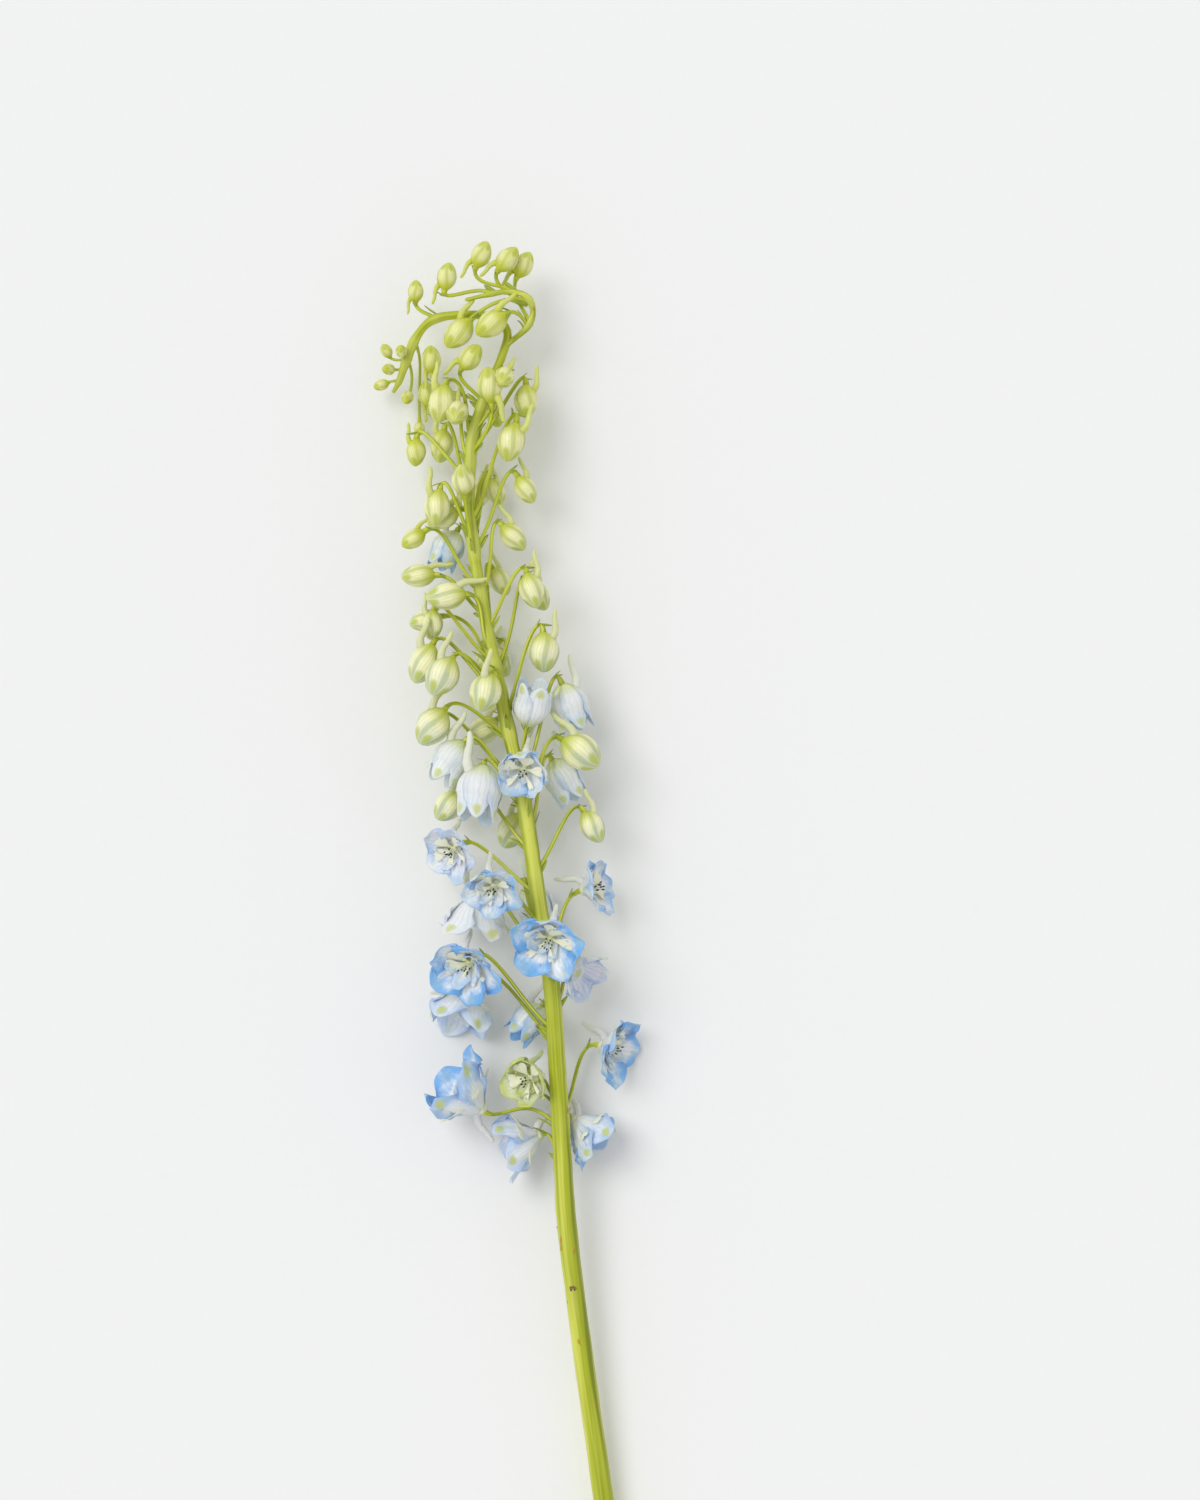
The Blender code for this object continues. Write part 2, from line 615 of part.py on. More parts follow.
def petal(form, length, width, turn, rows, columns=2):
    """One cupped petal with even thickness, which keeps to its own share of the ring near its base."""
    bm = bmesh.new()
    bmesh.ops.create_grid(bm, x_segments=columns, y_segments=rows, size=1.0)
    for vertex in bm.verts:
        side = vertex.co.x
        share = (vertex.co.y + 1) / 2 * (1 - SEPAL_ROUNDING * side**2)
        out, up, lean = sepal_line(form, length, share)
        start, rise, bulge = SEPAL_SWELL
        swell = math.sin(math.pi * (start + rise * share)) ** bulge
        across = side * min(width / 2 * swell, (CROWDING + OVERLAP * share) * out)
        fold = form.cupping * across**2 / length + SEPAL_TWIST * across
        outward, upward = out - fold * math.cos(lean), up + fold * math.sin(lean)
        vertex.co = (
            outward * math.cos(turn) - across * math.sin(turn),
            outward * math.sin(turn) + across * math.cos(turn),
            upward,
        )
    bmesh.ops.triangulate(bm, faces=bm.faces)
    bmesh.ops.solidify(bm, geom=bm.faces, thickness=SEPAL_THICKNESS)
    bmesh.ops.recalc_face_normals(bm, faces=bm.faces)
    return mesh_from(bm, "petal")


def open_bloom(bloom):
    """Spread sepals, and on the fullest florets some inner petals, round a small core."""
    form, length = bloom.form, sepal_length(bloom)
    pieces = [ball(CORE, CORE_LIFT)]
    for index in range(SEPALS):
        turn = math.radians(90 + 360 * index / SEPALS)
        pieces.append(petal(form, length, form.breadth * length * SEPAL_WIDENING, turn, SEPAL_ROWS))
    leans = (form.lean[0] - INNER_LEAN[0], form.lean[1] - INNER_LEAN[1])
    inner = Form(lean=leans, cupping=1.0)
    for index in range(form.inner_petals):
        turn = math.radians(INNER_TURN + 360 * (index + 1) / SEPALS)
        pieces.append(petal(inner, INNER_SHARE * length, INNER_WIDTH * length, turn, SEPAL_ROWS - 1, 1))
    return pieces


def bloom_pieces(bloom):
    """Meshes of one bloom, in millimetres in its own frame."""
    pieces = [closed_bloom(bloom)] if bloom.form.plump else open_bloom(bloom)
    if has_spur(bloom):
        root, tip, thick, thin = spur_ends(bloom)
        pieces.append(spike(root, tip, thick, thin, 4))
    return pieces


def eye(bloom):
    """Toothed crown of cream inner petals round a boss of stamens, clear of the sepals that it stands on."""
    spread, height = np.array(EYE_SIZE) * sepal_length(bloom)
    base = CORE_LIFT + CORE[2] + GAP
    rows = len(EYE_PROFILE) - 1
    bm = bmesh.new()
    bmesh.ops.create_uvsphere(bm, u_segments=2 * SEPALS, v_segments=rows, radius=1.0)
    for vertex in bm.verts:
        share = math.acos(max(-1.0, min(1.0, -vertex.co.z))) / math.pi
        turn = math.atan2(vertex.co.y, vertex.co.x)
        tooth = 0.5 + 0.5 * math.cos(SEPALS * turn)
        wide, wide_tooth, high, high_tooth = EYE_PROFILE[round(share * rows)]
        out = (wide + wide_tooth * tooth) * spread
        up = (high + high_tooth * tooth) * height
        vertex.co = (out * math.cos(turn), out * math.sin(turn), base + up)
    bmesh.ops.triangulate(bm, faces=bm.faces)
    return mesh_from(bm, "eye")


def place(raceme, index):
    """Matrix from a bloom's own frame to the drawing frame."""
    matrix = Matrix(raceme.frames[index].tolist()).to_4x4()
    matrix.translation = Vector(raceme.bases()[index])
    return matrix


def finish(mesh, frame, node, material, collection):
    """Make a node: lay what dips under the surface flat on it, and set the mesh to metres."""
    inverse = frame.inverted()
    for vertex in mesh.vertices:
        spot = frame @ vertex.co
        if spot.z < 0:
            spot.z = 0
            vertex.co = inverse @ spot
    mesh.transform(Matrix.Scale(MM, 4))
    mesh.name = node
    mesh.materials.clear()
    mesh.materials.append(material)
    mesh.shade_smooth()
    mesh.set_sharp_from_angle(angle=SHARP)
    node_object = bpy.data.objects.new(node, mesh)
    frame = frame.copy()
    frame.translation = (frame.translation - Vector((*ORIGIN, 0))) * MM
    node_object.matrix_world = frame
    collection.objects.link(node_object)


def stem_pieces(stem, branch, raceme):
    """Main stem, side branch, leaf scars, pedicels, bracts and the small green buds, in the drawing frame."""
    pieces = [
        tube(stem.points[:, :3], stem.points[:, 3], STEM_SIDES),
        tube(branch.points[:, :3], branch.points[:, 3], 1),
    ]
    for distance, turn in SCARS:
        pieces.append(scar(stem, distance, math.radians(turn)))
    shares = np.linspace(0.0, 1.0, PEDICEL_POINTS)
    paths = raceme.pedicels(shares).swapaxes(0, 1)
    bases = raceme.bases()
    for index, (bloom, path) in enumerate(zip(raceme.blooms, paths)):
        young = 1.0 if has_spur(bloom) else YOUNG_PEDICEL
        thicknesses = np.full(PEDICEL_POINTS, PEDICEL_THICKNESS * young)
        thicknesses[-1] *= RECEPTACLE
        if bloom.node == "stem":
            path[-1] = bases[index] + raceme.axes[index] * ROOTED * bloom.size
            for mesh in bloom_pieces(bloom):
                mesh.transform(place(raceme, index))
                pieces.append(mesh)
        pieces.append(tube(path, thicknesses))
        if bloom.leaves < BRACTS_UP_TO and not bloom.on_branch:
            pieces.append(bract(raceme, index, path))
    return pieces


def scar(stem, distance, turn):
    """Low bump that a stripped leaf left on the bare stem."""
    spot, along = stem.at(distance), Vector(stem.direction(distance))
    side = along.orthogonal().normalized()
    side.rotate(Matrix.Rotation(turn, 3, along))
    bm = bmesh.new()
    bmesh.ops.create_uvsphere(bm, u_segments=8, v_segments=5, radius=1.0)
    bmesh.ops.scale(bm, vec=SCAR_SIZE, verts=bm.verts)
    frame = Matrix((along.cross(side), along, side)).transposed().to_4x4()
    frame.translation = Vector(spot[:3]) + side * (spot[3] / 2 - SCAR_SUNK)
    bmesh.ops.transform(bm, matrix=frame, verts=bm.verts)
    return mesh_from(bm, "scar")


def bract(raceme, index, path):
    """Linear bract under a pedicel's foot."""
    length, root, tip = BRACT
    lean = unit(unit(path[1] - path[0]) + BRACT_LEAN * raceme.up_stem[index])
    return spike(path[0], path[0] + lean * length, root, tip, 3)


def material(name, colour, roughness):
    """Plain finish for one kind of piece."""
    made = bpy.data.materials.new(name)
    made.use_nodes = True
    shader = made.node_tree.nodes["Principled BSDF"]
    shader.inputs["Base Color"].default_value = (*colour, 1.0)
    shader.inputs["Roughness"].default_value = roughness
    shader.inputs["Metallic"].default_value = 0.0
    return made


def main():
    """Build the whole spike."""
    for old in list(bpy.data.objects):
        bpy.data.objects.remove(old)
    collection = bpy.data.collections.new("delphinium_spike")
    bpy.context.scene.collection.children.link(collection)
    finishes = {
        "stem": material("stem_green", (0.42, 0.49, 0.03), 0.5),
        "bud": material("bud_cream", (0.80, 0.82, 0.55), 0.55),
        "bell": material("bell_pale_blue", (0.62, 0.74, 0.88), 0.55),
        "floret": material("sepal_blue", (0.30, 0.54, 0.86), 0.55),
        "eye": material("eye_cream", (0.88, 0.87, 0.62), 0.6),
    }
    stem, branch = Line.through(STEM, 22.0), Line.through(BRANCH, 8.0)
    raceme = Raceme(BLOOMS, stem, branch)
    raceme.settle()
    fused = fuse(stem_pieces(stem, branch, raceme))
    finish(fused, Matrix.Identity(4), "stem", finishes["stem"], collection)
    for node in sorted({bloom.node for bloom in BLOOMS} - {"stem"}):
        members = [index for index, bloom in enumerate(BLOOMS) if bloom.node == node]
        frame = place(raceme, members[0])
        pieces = []
        for index in members:
            for mesh in bloom_pieces(BLOOMS[index]):
                mesh.transform(frame.inverted() @ place(raceme, index))
                pieces.append(mesh)
        finish(fuse(pieces), frame, node, finishes[node.split("_")[0]], collection)
        if BLOOMS[members[0]].form.eye:
            crown = eye(BLOOMS[members[0]])
            finish(crown, frame, node.replace("floret", "eye"), finishes["eye"], collection)


main()
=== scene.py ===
"""Dressed delphinium flower spike, lying on its back on a pale studio floor.

Everything is drawn in millimetres in the spike's own drawing frame: x runs across, y up the stem
from the cut end, z up from the surface. The placing rule settles every bloom where its solid lies,
then each sub-assembly builds its own meshes there and dresses them.
"""

import logging
import math
from dataclasses import dataclass, replace
from enum import Enum
from typing import Any, Iterator

import bmesh
import bpy
import numpy as np
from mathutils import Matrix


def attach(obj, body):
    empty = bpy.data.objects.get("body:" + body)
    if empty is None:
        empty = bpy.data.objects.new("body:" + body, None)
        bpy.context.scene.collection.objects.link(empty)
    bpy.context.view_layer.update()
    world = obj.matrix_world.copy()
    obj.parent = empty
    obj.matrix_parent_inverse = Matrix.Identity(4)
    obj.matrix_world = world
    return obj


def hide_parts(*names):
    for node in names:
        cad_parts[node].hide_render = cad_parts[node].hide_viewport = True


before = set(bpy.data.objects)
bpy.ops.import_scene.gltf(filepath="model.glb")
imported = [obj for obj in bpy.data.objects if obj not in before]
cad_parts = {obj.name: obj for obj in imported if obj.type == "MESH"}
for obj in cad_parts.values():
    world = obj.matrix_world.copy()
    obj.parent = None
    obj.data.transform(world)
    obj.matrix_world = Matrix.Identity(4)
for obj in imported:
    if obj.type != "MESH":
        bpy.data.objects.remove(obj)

LOG = logging.getLogger("delphinium")
Array = np.ndarray
# Three sockets of shader nodes
Values = tuple[Any, Any, Any]

MM = 0.001
# Where the middle of the whole spike lies in the drawing frame
ORIGIN = (-13.1, 310.5)
# The spot of the drawing frame under the middle of the picture, and the height of the lens
CAMERA_SPOT = (25.2, 409.9)
CAMERA_HEIGHT = 1.77
# The node that the small green buds of the tip belong to
GREEN_NODE = "stem"
BUD_SLOT = "bud_cream"
# Faces of a bud that meet more sharply than this form a seam
SEAM_ANGLE = math.radians(60)
# The lowest that any point lies over the surface
LOWEST = 0.02
# Half the stretch over which the way of a line is read
HALF_STRETCH = 1.5
# How much thinner a blade is at its margin and at its tip than in its middle, as shares
MARGIN_THINNING = 0.6
TIP_THINNING = 0.5
# Turn from one stamen to the next that spreads them evenly, in radians
EVEN_TURN = 2.39996
# Distance from point to point along the stem and the side branch: to place the blooms, and for the mesh
COARSE_STEPS = (22.0, 8.0)
FINE_STEPS = (2.2, 2.0)
# Where the small differences of the tones, blooms and eyes start from
TONE_SEED = 11
BLOOM_SEED = 100
EYE_SEED = 300

# Listed points of the stem and the side branch: x, y, z and thickness
STEM_KNOTS = (
    (39.5, 0.0, 4.3, 9.2),
    (32.8, 48.0, 7.2, 9.0),
    (26.5, 95.0, 10.4, 8.6),
    (17.2, 162.0, 15.6, 8.2),
    (11.3, 211.0, 19.8, 8.2),
    (9.4, 240.0, 22.0, 7.8),
    (7.4, 275.0, 24.8, 7.2),
    (4.6, 315.0, 27.6, 6.8),
    (-0.6, 348.0, 29.4, 6.4),
    (-6.7, 389.0, 30.8, 6.0),
    (-14.3, 424.0, 31.2, 5.4),
    (-20.2, 452.0, 31.0, 4.8),
    (-25.6, 481.0, 30.4, 4.2),
    (-29.0, 508.0, 29.8, 3.9),
    (-29.0, 525.0, 29.4, 3.8),
    (-28.2, 541.0, 29.0, 3.7),
    (-23.2, 557.0, 28.6, 3.6),
    (-16.0, 574.0, 28.2, 3.6),
    (-13.6, 585.0, 27.8, 3.5),
    (-20.5, 591.0, 27.2, 3.5),
    (-34.0, 592.0, 26.0, 3.5),
    (-45.2, 590.0, 24.0, 3.4),
    (-52.0, 583.0, 21.0, 3.2),
    (-56.5, 573.0, 17.5, 2.6),
    (-59.5, 565.0, 14.0, 2.0),
    (-62.0, 561.0, 11.5, 1.4),
)
BRANCH_KNOTS = (
    (-15.5, 578.0, 28.2, 2.4),
    (-5.6, 586.0, 30.0, 2.2),
    (-2.6, 593.5, 31.5, 2.0),
    (-6.0, 599.5, 32.5, 1.9),
    (-13.5, 601.0, 33.0, 1.8),
    (-22.0, 599.6, 33.0, 1.7),
    (-30.5, 597.6, 33.0, 1.6),
)


def unit(vector: Array) -> Array:
    """The vector at length 1."""
    return vector / np.linalg.norm(vector)


def smooth(value: Array, low: float, high: float) -> Array:
    """Rises softly from 0 at low to 1 at high."""
    part = np.clip((value - low) / (high - low), 0.0, 1.0)
    return part * part * (3 - 2 * part)


@dataclass(frozen=True)
class Form:
    """How far a bloom has opened: a closed one is a plump body, an open one has spread sepals.

    Args:
        plump: Radius of a closed bloom as a share of its length, 0 for an open one.
        mouth: Whether the sepals of a closed bloom are parted at the mouth.
        lean: Lean of an open sepal from the axis at its foot and tip, in degrees.
        breadth: Width of a sepal as a share of its length.
        cupping: How strongly a sepal is cupped across.
        inner_petals: How many more than three small petals stand inside the sepals.
        eye: Whether the cream crown and the stamens show.
    """

    plump: float = 0.0
    mouth: bool = False
    lean: tuple[float, float] = (0.0, 0.0)
    breadth: float = 0.0
    cupping: float = 0.0
    inner_petals: int = 0
    eye: bool = False


class Stage(Enum):
    """The stages that a bloom of this spike goes through."""

    GREEN = Form(plump=0.36)
    BUD = Form(plump=0.35)
    SWOLLEN = Form(plump=0.40)
    BELL = Form(plump=0.37, mouth=True)
    PALE = Form(lean=(44, 26), breadth=0.62, cupping=0.6)
    HALF = Form(lean=(68, 14), breadth=0.72, cupping=0.6)
    CUP = Form(lean=(68, 14), breadth=0.80, cupping=0.6, eye=True)
    TRUMPET = Form(lean=(44, 26), breadth=0.62, cupping=0.6, eye=True)
    OPEN = Form(lean=(50, 84), breadth=0.78, cupping=0.9, eye=True)
    FULL = Form(lean=(52, 80), breadth=0.80, cupping=0.85, inner_petals=3, eye=True)


@dataclass(frozen=True)
class Bloom:
    """One bud or floret, and where it grows.

    Args:
        node: The solid that it belongs to.
        stage: How far it has opened.
        size: A bud's length, or the width across an open floret.
        x: Place of its middle across.
        y: Place of its middle up the stem.
        lift: Height of its middle over the stem's line.
        heading: Way that its mouth points, turning from +x to +y, in degrees.
        rise: How far its mouth tips up from the surface, in degrees.
        leaves: How far along the stem its pedicel starts.
        on_branch: Whether it grows on the thin side branch.
    """

    node: str
    stage: Stage
    size: float
    x: float
    y: float
    lift: float
    heading: float
    rise: float
    leaves: float
    on_branch: bool = False

    @property
    def form(self) -> Form:
        """The form that its stage gives it."""
        return self.stage.value


@dataclass(frozen=True)
class Tone:
    """How a bloom is coloured.

    Args:
        blue: From white, 0, to deep sky blue, 1.
        lilac: Share of lilac.
        green: Share of young green.
    """

    blue: float
    lilac: float = 0.0
    green: float = 0.0


# Small green buds, grown together with the stem, from size on as in a bloom
GREEN_BUDS = (
    (12, -19, 552, -14, 280, 0, 535),
    (11.5, -52.9, 498.5, -7, 215, 0, 484),
    (13, -28.6, 575, 7, 50, 20, 562),
    (15.5, -21.8, 586, 9, 215, 5, 14, True),
    (15.5, -32.3, 583.4, 9, 228, 5, 26, True),
    (11, -48.5, 560, -6, 100, 0, 553),
    (12, -46, 574, 0, 95, 5, 560),
    (12, -7.6, 613, 1, 62, 0, 16, True),
    (12.5, -14.3, 615, 6, 50, 5, 25, True),
    (12, -24.8, 615, 6, 66, 5, 34, True),
    (12, -37, 607, 6, 80, 5, 42, True),
    (9.5, -52, 602, 0, 88, 5, 626),
    (7, -64.5, 577.5, 2, 120, 30, 648),
    (7, -58, 577, 6, 100, 60, 642),
    (7, -63.5, 570, 4, 180, 50, 652),
    (7, -67, 564, 0, 200, 10, 658),
    (7.5, -56, 558.5, 2, 250, 50, 648),
    (7, -50.8, 546, -4, 270, 40, 640),
    (12, -52, 535, -8, 268, 0, 528),
)

BLOOM_ROWS = (
    # Open florets, from the lowest up
    ("floret_01", Stage.TRUMPET, 28, -9, 247, -7, 200, 4, 238),
    ("floret_02", Stage.TRUMPET, 33, -31, 270, 0, 138, 8, 254),
    ("floret_03", Stage.CUP, 22, -4, 273, -1, 205, 50, 264),
    ("floret_04", Stage.TRUMPET, 31, -34, 298, -10, 250, 14, 290),
    ("floret_05", Stage.FULL, 36, -32, 321, 8, 235, 50, 295),
    ("floret_06", Stage.FULL, 35, 5, 331, 19, 250, 62, 315),
    ("floret_07", Stage.OPEN, 29, -19, 353, 16, 250, 55, 340),
    ("floret_08", Stage.OPEN, 29, -37, 370, 2, 222, 48, 353),
    ("floret_09", Stage.CUP, 21, -7.6, 401, 15, 250, 65, 385),
    ("floret_10", Stage.TRUMPET, 27, 20, 248, -13, 318, 0, 222),
    ("floret_11", Stage.FULL, 33, 30, 284, -11, 345, 25, 258),
    ("floret_12", Stage.OPEN, 29, 22, 352, -5, 12, 20, 328),
    # Half-open blooms
    ("bell_01", Stage.BELL, 18, -5, 296, -9, 228, 12, 280),
    ("bell_02", Stage.PALE, 28, -25, 339, -10, 262, -14, 326),
    ("bell_03", Stage.HALF, 22, 17, 316, 3, 322, 32, 304),
    ("bell_04", Stage.BELL, 24, -25.6, 392, 8, 262, 12, 390),
    ("bell_05", Stage.BELL, 20, -38.6, 407, 2, 234, 6, 397),
    ("bell_06", Stage.BELL, 20, -2.5, 429, 5, 76, 20, 408),
    ("bell_07", Stage.BELL, 17, -38.6, 494, -11, 244, 8, 478),
    ("bell_08", Stage.BELL, 20, 10, 397, -8, 300, 0, 380),
    ("bell_09", Stage.BELL, 21, 12, 427, -4, 288, 0, 400),
    ("bell_10", Stage.BELL, 20, -2, 344, -20, 290, -8, 322),
    # Buds down the left side and over the stem
    ("bud_01", Stage.SWOLLEN, 15, -37, 385, -11, 225, 0, 372),
    ("bud_02", Stage.GREEN, 12, -48, 412, -9, 250, 0, 402),
    ("bud_02", Stage.SWOLLEN, 18, -40, 424, -4, 235, 5, 420),
    ("bud_03", Stage.SWOLLEN, 17, -22, 434, 14, 250, 10, 422),
    ("bud_04", Stage.SWOLLEN, 18, -38.6, 438.5, 7, 240, 8, 441),
    ("bud_04", Stage.BUD, 18, -48.7, 447, 0, 245, 5, 438),
    ("bud_05", Stage.BUD, 13.5, -50, 464, -6, 195, 0, 450),
    ("bud_05", Stage.BUD, 13, -40.7, 463, -5, 265, 5, 452),
    ("bud_06", Stage.BUD, 17, -38.6, 474, 6, 185, 5, 457),
    ("bud_07", Stage.BUD, 14.5, -50.8, 483.4, -6, 182, 0, 472),
    ("bud_08", Stage.BUD, 14.5, -37, 505.7, -1, 205, 5, 490),
    ("bud_08", Stage.BUD, 16, -43.3, 514, 5, 262, 5, 505),
    ("bud_09", Stage.BUD, 14, -32.8, 520.4, 11, 95, 30, 498),
    ("bud_10", Stage.BUD, 14.5, -41, 538, -10, 262, 0, 522),
    ("bud_11", Stage.BUD, 14, -33.6, 549, 9, 255, 60, 536),
    ("bud_11", Stage.BUD, 16.5, -40.5, 556, 3, 258, 5, 546),
    ("bud_12", Stage.BUD, 15.5, -21.8, 560, 13, 97, 10, 540),
    ("bud_12", Stage.BUD, 12.5, -13.6, 566, 8, 250, 60, 550),
    # Buds on the right side
    ("bud_13", Stage.BUD, 15, 22, 378, -1, 300, 5, 362),
    ("bud_14", Stage.SWOLLEN, 19, 17, 410, 3, 325, 5, 392),
    ("bud_15", Stage.SWOLLEN, 17, 1, 451, 3, 272, 5, 430),
    ("bud_16", Stage.BUD, 14, 3, 469, -6, 300, 0, 449),
    ("bud_16", Stage.BUD, 15.5, -7, 482, 1, 285, 5, 466),
    ("bud_17", Stage.BUD, 14, -11, 499, -3, 312, 0, 481),
    ("bud_18", Stage.BUD, 13, -6, 519, -4, 300, 0, 500),
    ("bud_19", Stage.BUD, 17, -12.6, 539, 2, 256, 5, 512),
    ("bud_20", Stage.BUD, 14.5, -6, 556, -2, 270, 5, 542),
    # Buds behind the stem
    ("bud_21", Stage.SWOLLEN, 16, -12, 376, -16, 245, -5, 358),
    ("bud_22", Stage.SWOLLEN, 15, -24, 418, -15, 220, 0, 403),
    ("bud_23", Stage.BUD, 15, -10, 446, -21, 300, -4, 425),
    ("bud_23", Stage.BUD, 14, -27, 453, -21, 235, -4, 438),
    ("bud_24", Stage.BUD, 13, -17, 481, -15, 300, 0, 462),
    ("bud_25", Stage.BUD, 13, -30, 518, -15, 245, 0, 500),
    ("bud_25", Stage.BUD, 12, -18, 519, -14, 295, 0, 504),
)
BLOOMS = tuple(Bloom(*row) for row in BLOOM_ROWS)
BLOOMS += tuple(Bloom(GREEN_NODE, Stage.GREEN, *row) for row in GREEN_BUDS)

# The common tones of bells and of green buds, and where up the spike other buds turn from white to green
BELL_TONE = Tone(0.50, 0.12)
GREEN_TONE = Tone(0.0, 0.0, 0.75)
YOUNG_REACH = (410.0, 590.0)
# The florets and bells that differ from the common tone of their age
TONES = {
    "floret_01": Tone(0.60, 0.35),
    "floret_02": Tone(0.90, 0.10),
    "floret_03": Tone(0.05, 0.0, 0.85),
    "floret_04": Tone(0.45, 0.15),
    "floret_05": Tone(0.85, 0.05),
    "floret_06": Tone(0.80, 0.0),
    "floret_07": Tone(0.62, 0.05),
    "floret_08": Tone(0.45, 0.30),
    "floret_09": Tone(0.55, 0.05),
    "floret_10": Tone(0.70, 0.20),
    "floret_11": Tone(0.75, 0.05),
    "floret_12": Tone(0.65, 0.10),
    "bell_01": Tone(1.0, 0.0),
    "bell_02": Tone(0.20, 0.35),
    "bell_03": Tone(0.45, 0.55),
    "bell_04": Tone(0.35, 0.10),
    "bell_05": Tone(0.25, 0.05, 0.1),
    "bell_06": Tone(0.30, 0.10),
    "bell_07": Tone(0.80, 0.05),
}


@dataclass(frozen=True)
class Line:
    """A smooth line through given points, read by the distance along it.

    Args:
        points: Position and thickness of each point.
        lengths: Distance of each point along the line.
    """

    points: Array
    lengths: Array

    @classmethod
    def through(cls, knots: tuple[tuple[float, ...], ...], step: float) -> "Line":
        """Catmull-Rom line through the knots.

        Args:
            knots: x, y, z and thickness of each knot.
            step: Distance from point to point, about.

        Returns:
            The line.
        """
        placed = np.array(knots, dtype=float)
        ends = np.vstack((2 * placed[0] - placed[1], placed, 2 * placed[-1] - placed[-2]))
        points = [placed[0]]
        for before, start, end, after in zip(ends, ends[1:], ends[2:], ends[3:]):
            count = max(1, round(np.linalg.norm(end[:3] - start[:3]) / step))
            for part in np.arange(1, count + 1) / count:
                bend = (2 * before - 5 * start + 4 * end - after) * part**2
                swing = (3 * start - before - 3 * end + after) * part**3
                points.append(0.5 * (2 * start + (end - before) * part + bend + swing))
        line = np.array(points)
        runs = np.linalg.norm(np.diff(line[:, :3], axis=0), axis=1)
        return cls(line, np.concatenate(([0.0], np.cumsum(runs))))

    def at(self, distance: float) -> Array:
        """Position and thickness at a distance along the line."""
        return np.array([np.interp(distance, self.lengths, column) for column in self.points.T])

    def direction(self, distance: float) -> Array:
        """Way the line runs at a distance along it."""
        ahead = self.at(distance + HALF_STRETCH) - self.at(distance - HALF_STRETCH)
        return unit(ahead[:3])


@dataclass(frozen=True)
class SepalShape:
    """The outline and attitude that all open sepals share, in millimetres and shares of a sepal.

    Args:
        count: Sepals of a bloom.
        root: Distance of a sepal's foot from the axis.
        foot: Height of a sepal's foot over the base.
        swell: Where in a half sine its width starts, how much of it the width follows, and its power.
        twist: How far one margin stands over the other.
        middle: Share of the length at which a bloom's middle lies.
    """

    count: int = 5
    root: float = 1.4
    foot: float = 1.0
    swell: tuple[float, float, float] = (0.04, 0.72, 0.8)
    twist: float = 0.13
    middle: float = 0.6

    def length(self, bloom: Bloom) -> float:
        """Length of a sepal that gives an open bloom its width across."""
        leans = np.radians(np.linspace(*bloom.form.lean, 9))
        return (bloom.size / 2 - self.root) / np.sin(leans).mean()

    def spot(self, form: Form, length: float, share: float) -> tuple[float, float]:
        """Where the sepal's midline is at a share of its length.

        Args:
            form: The bloom's form.
            length: The sepal's length.
            share: Share of the length from the foot.

        Returns:
            Distance from the axis and height over the base.
        """
        steps = np.linspace(0.0, share, 9)
        leans = np.radians(form.lean[0] + (form.lean[1] - form.lean[0]) * steps)
        out = self.root + length * share * np.sin(leans).mean()
        up = self.foot + length * share * np.cos(leans).mean()
        return out, up

    def middle_height(self, bloom: Bloom) -> float:
        """Height of a bloom's middle over its base, along its axis."""
        if bloom.form.plump:
            return bloom.size / 2
        return self.spot(bloom.form, self.length(bloom), self.middle)[1]


SEPAL = SepalShape()
# Buds up to this length have no spur yet
TINY = 8.0
# Spur of a bud in shares of its length, and of an open floret in millimetres: its root and its tip, each
# as way out and way up the axis, and the radius at both
BUD_SPUR = ((0.16, 0.25), (0.34, -0.5), (0.1, 0.05))
OPEN_SPUR = ((2.2, 2.4), (7.6, -11.6), (1.7, 0.8))


def spur_ends(bloom: Bloom) -> tuple[Array, Array, float, float]:
    """Root and tip of the spur in the bloom's own frame, with both radii."""
    scale = bloom.size if bloom.form.plump else 1.0
    root, tip, radii = np.array(BUD_SPUR if bloom.form.plump else OPEN_SPUR) * scale
    return np.insert(root, 0, 0.0), np.insert(tip, 0, 0.0), radii[0], radii[1]


def has_spur(bloom: Bloom) -> bool:
    """Only the tiniest buds are still too young for a spur."""
    return bloom.size > TINY


def sway(shares: Array) -> Array:
    """How far a bowed pedicel swings out at shares of its way, 1 at its middle."""
    return 16 * shares**2 * (1 - shares) ** 2


@dataclass(frozen=True)
class Settling:
    """The numbers of the rule by which blooms shoulder each other aside until they are clear.

    Lengths are in millimetres. The spheres that fill a bloom have their places and radii as shares of
    a bud's length and radius or of a sepal's length. stalk_steps is the first and last place along a
    pedicel that is tested, and their number. The firm shares say how much of a sphere rests on the
    surface, and give says how readily a bloom moves across, up the stem and in depth.
    """

    seat_gap: float = 0.75
    leaving: float = 0.825
    arriving: float = 1.1
    climb: float = 0.8
    bud_spheres: tuple = ((0.22, 0.8), (0.5, 1.02), (0.78, 0.85))
    sepal_spheres: tuple = ((0.45, 0.24), (0.84, 0.27))
    heart_sphere: tuple = (0.4, 0.26)
    spur_spheres: tuple = (0.4, 0.7, 1.0)
    stalk_steps: tuple = (0.2, 0.9, 7)
    stalk_end: float = 0.75
    stalk: float = 1.6
    clearance: float = 0.9
    pressed: float = 2.4
    steps: int = 400
    rate: float = 0.3
    reach: float = 14.0
    longest: float = 0.8
    bend: float = 0.9
    nudge: float = 0.3
    shoulder: float = 0.6
    firm_bud: float = 0.95
    firm_sepal: float = 0.3
    give: tuple = (0.6, 0.6, 1.0)


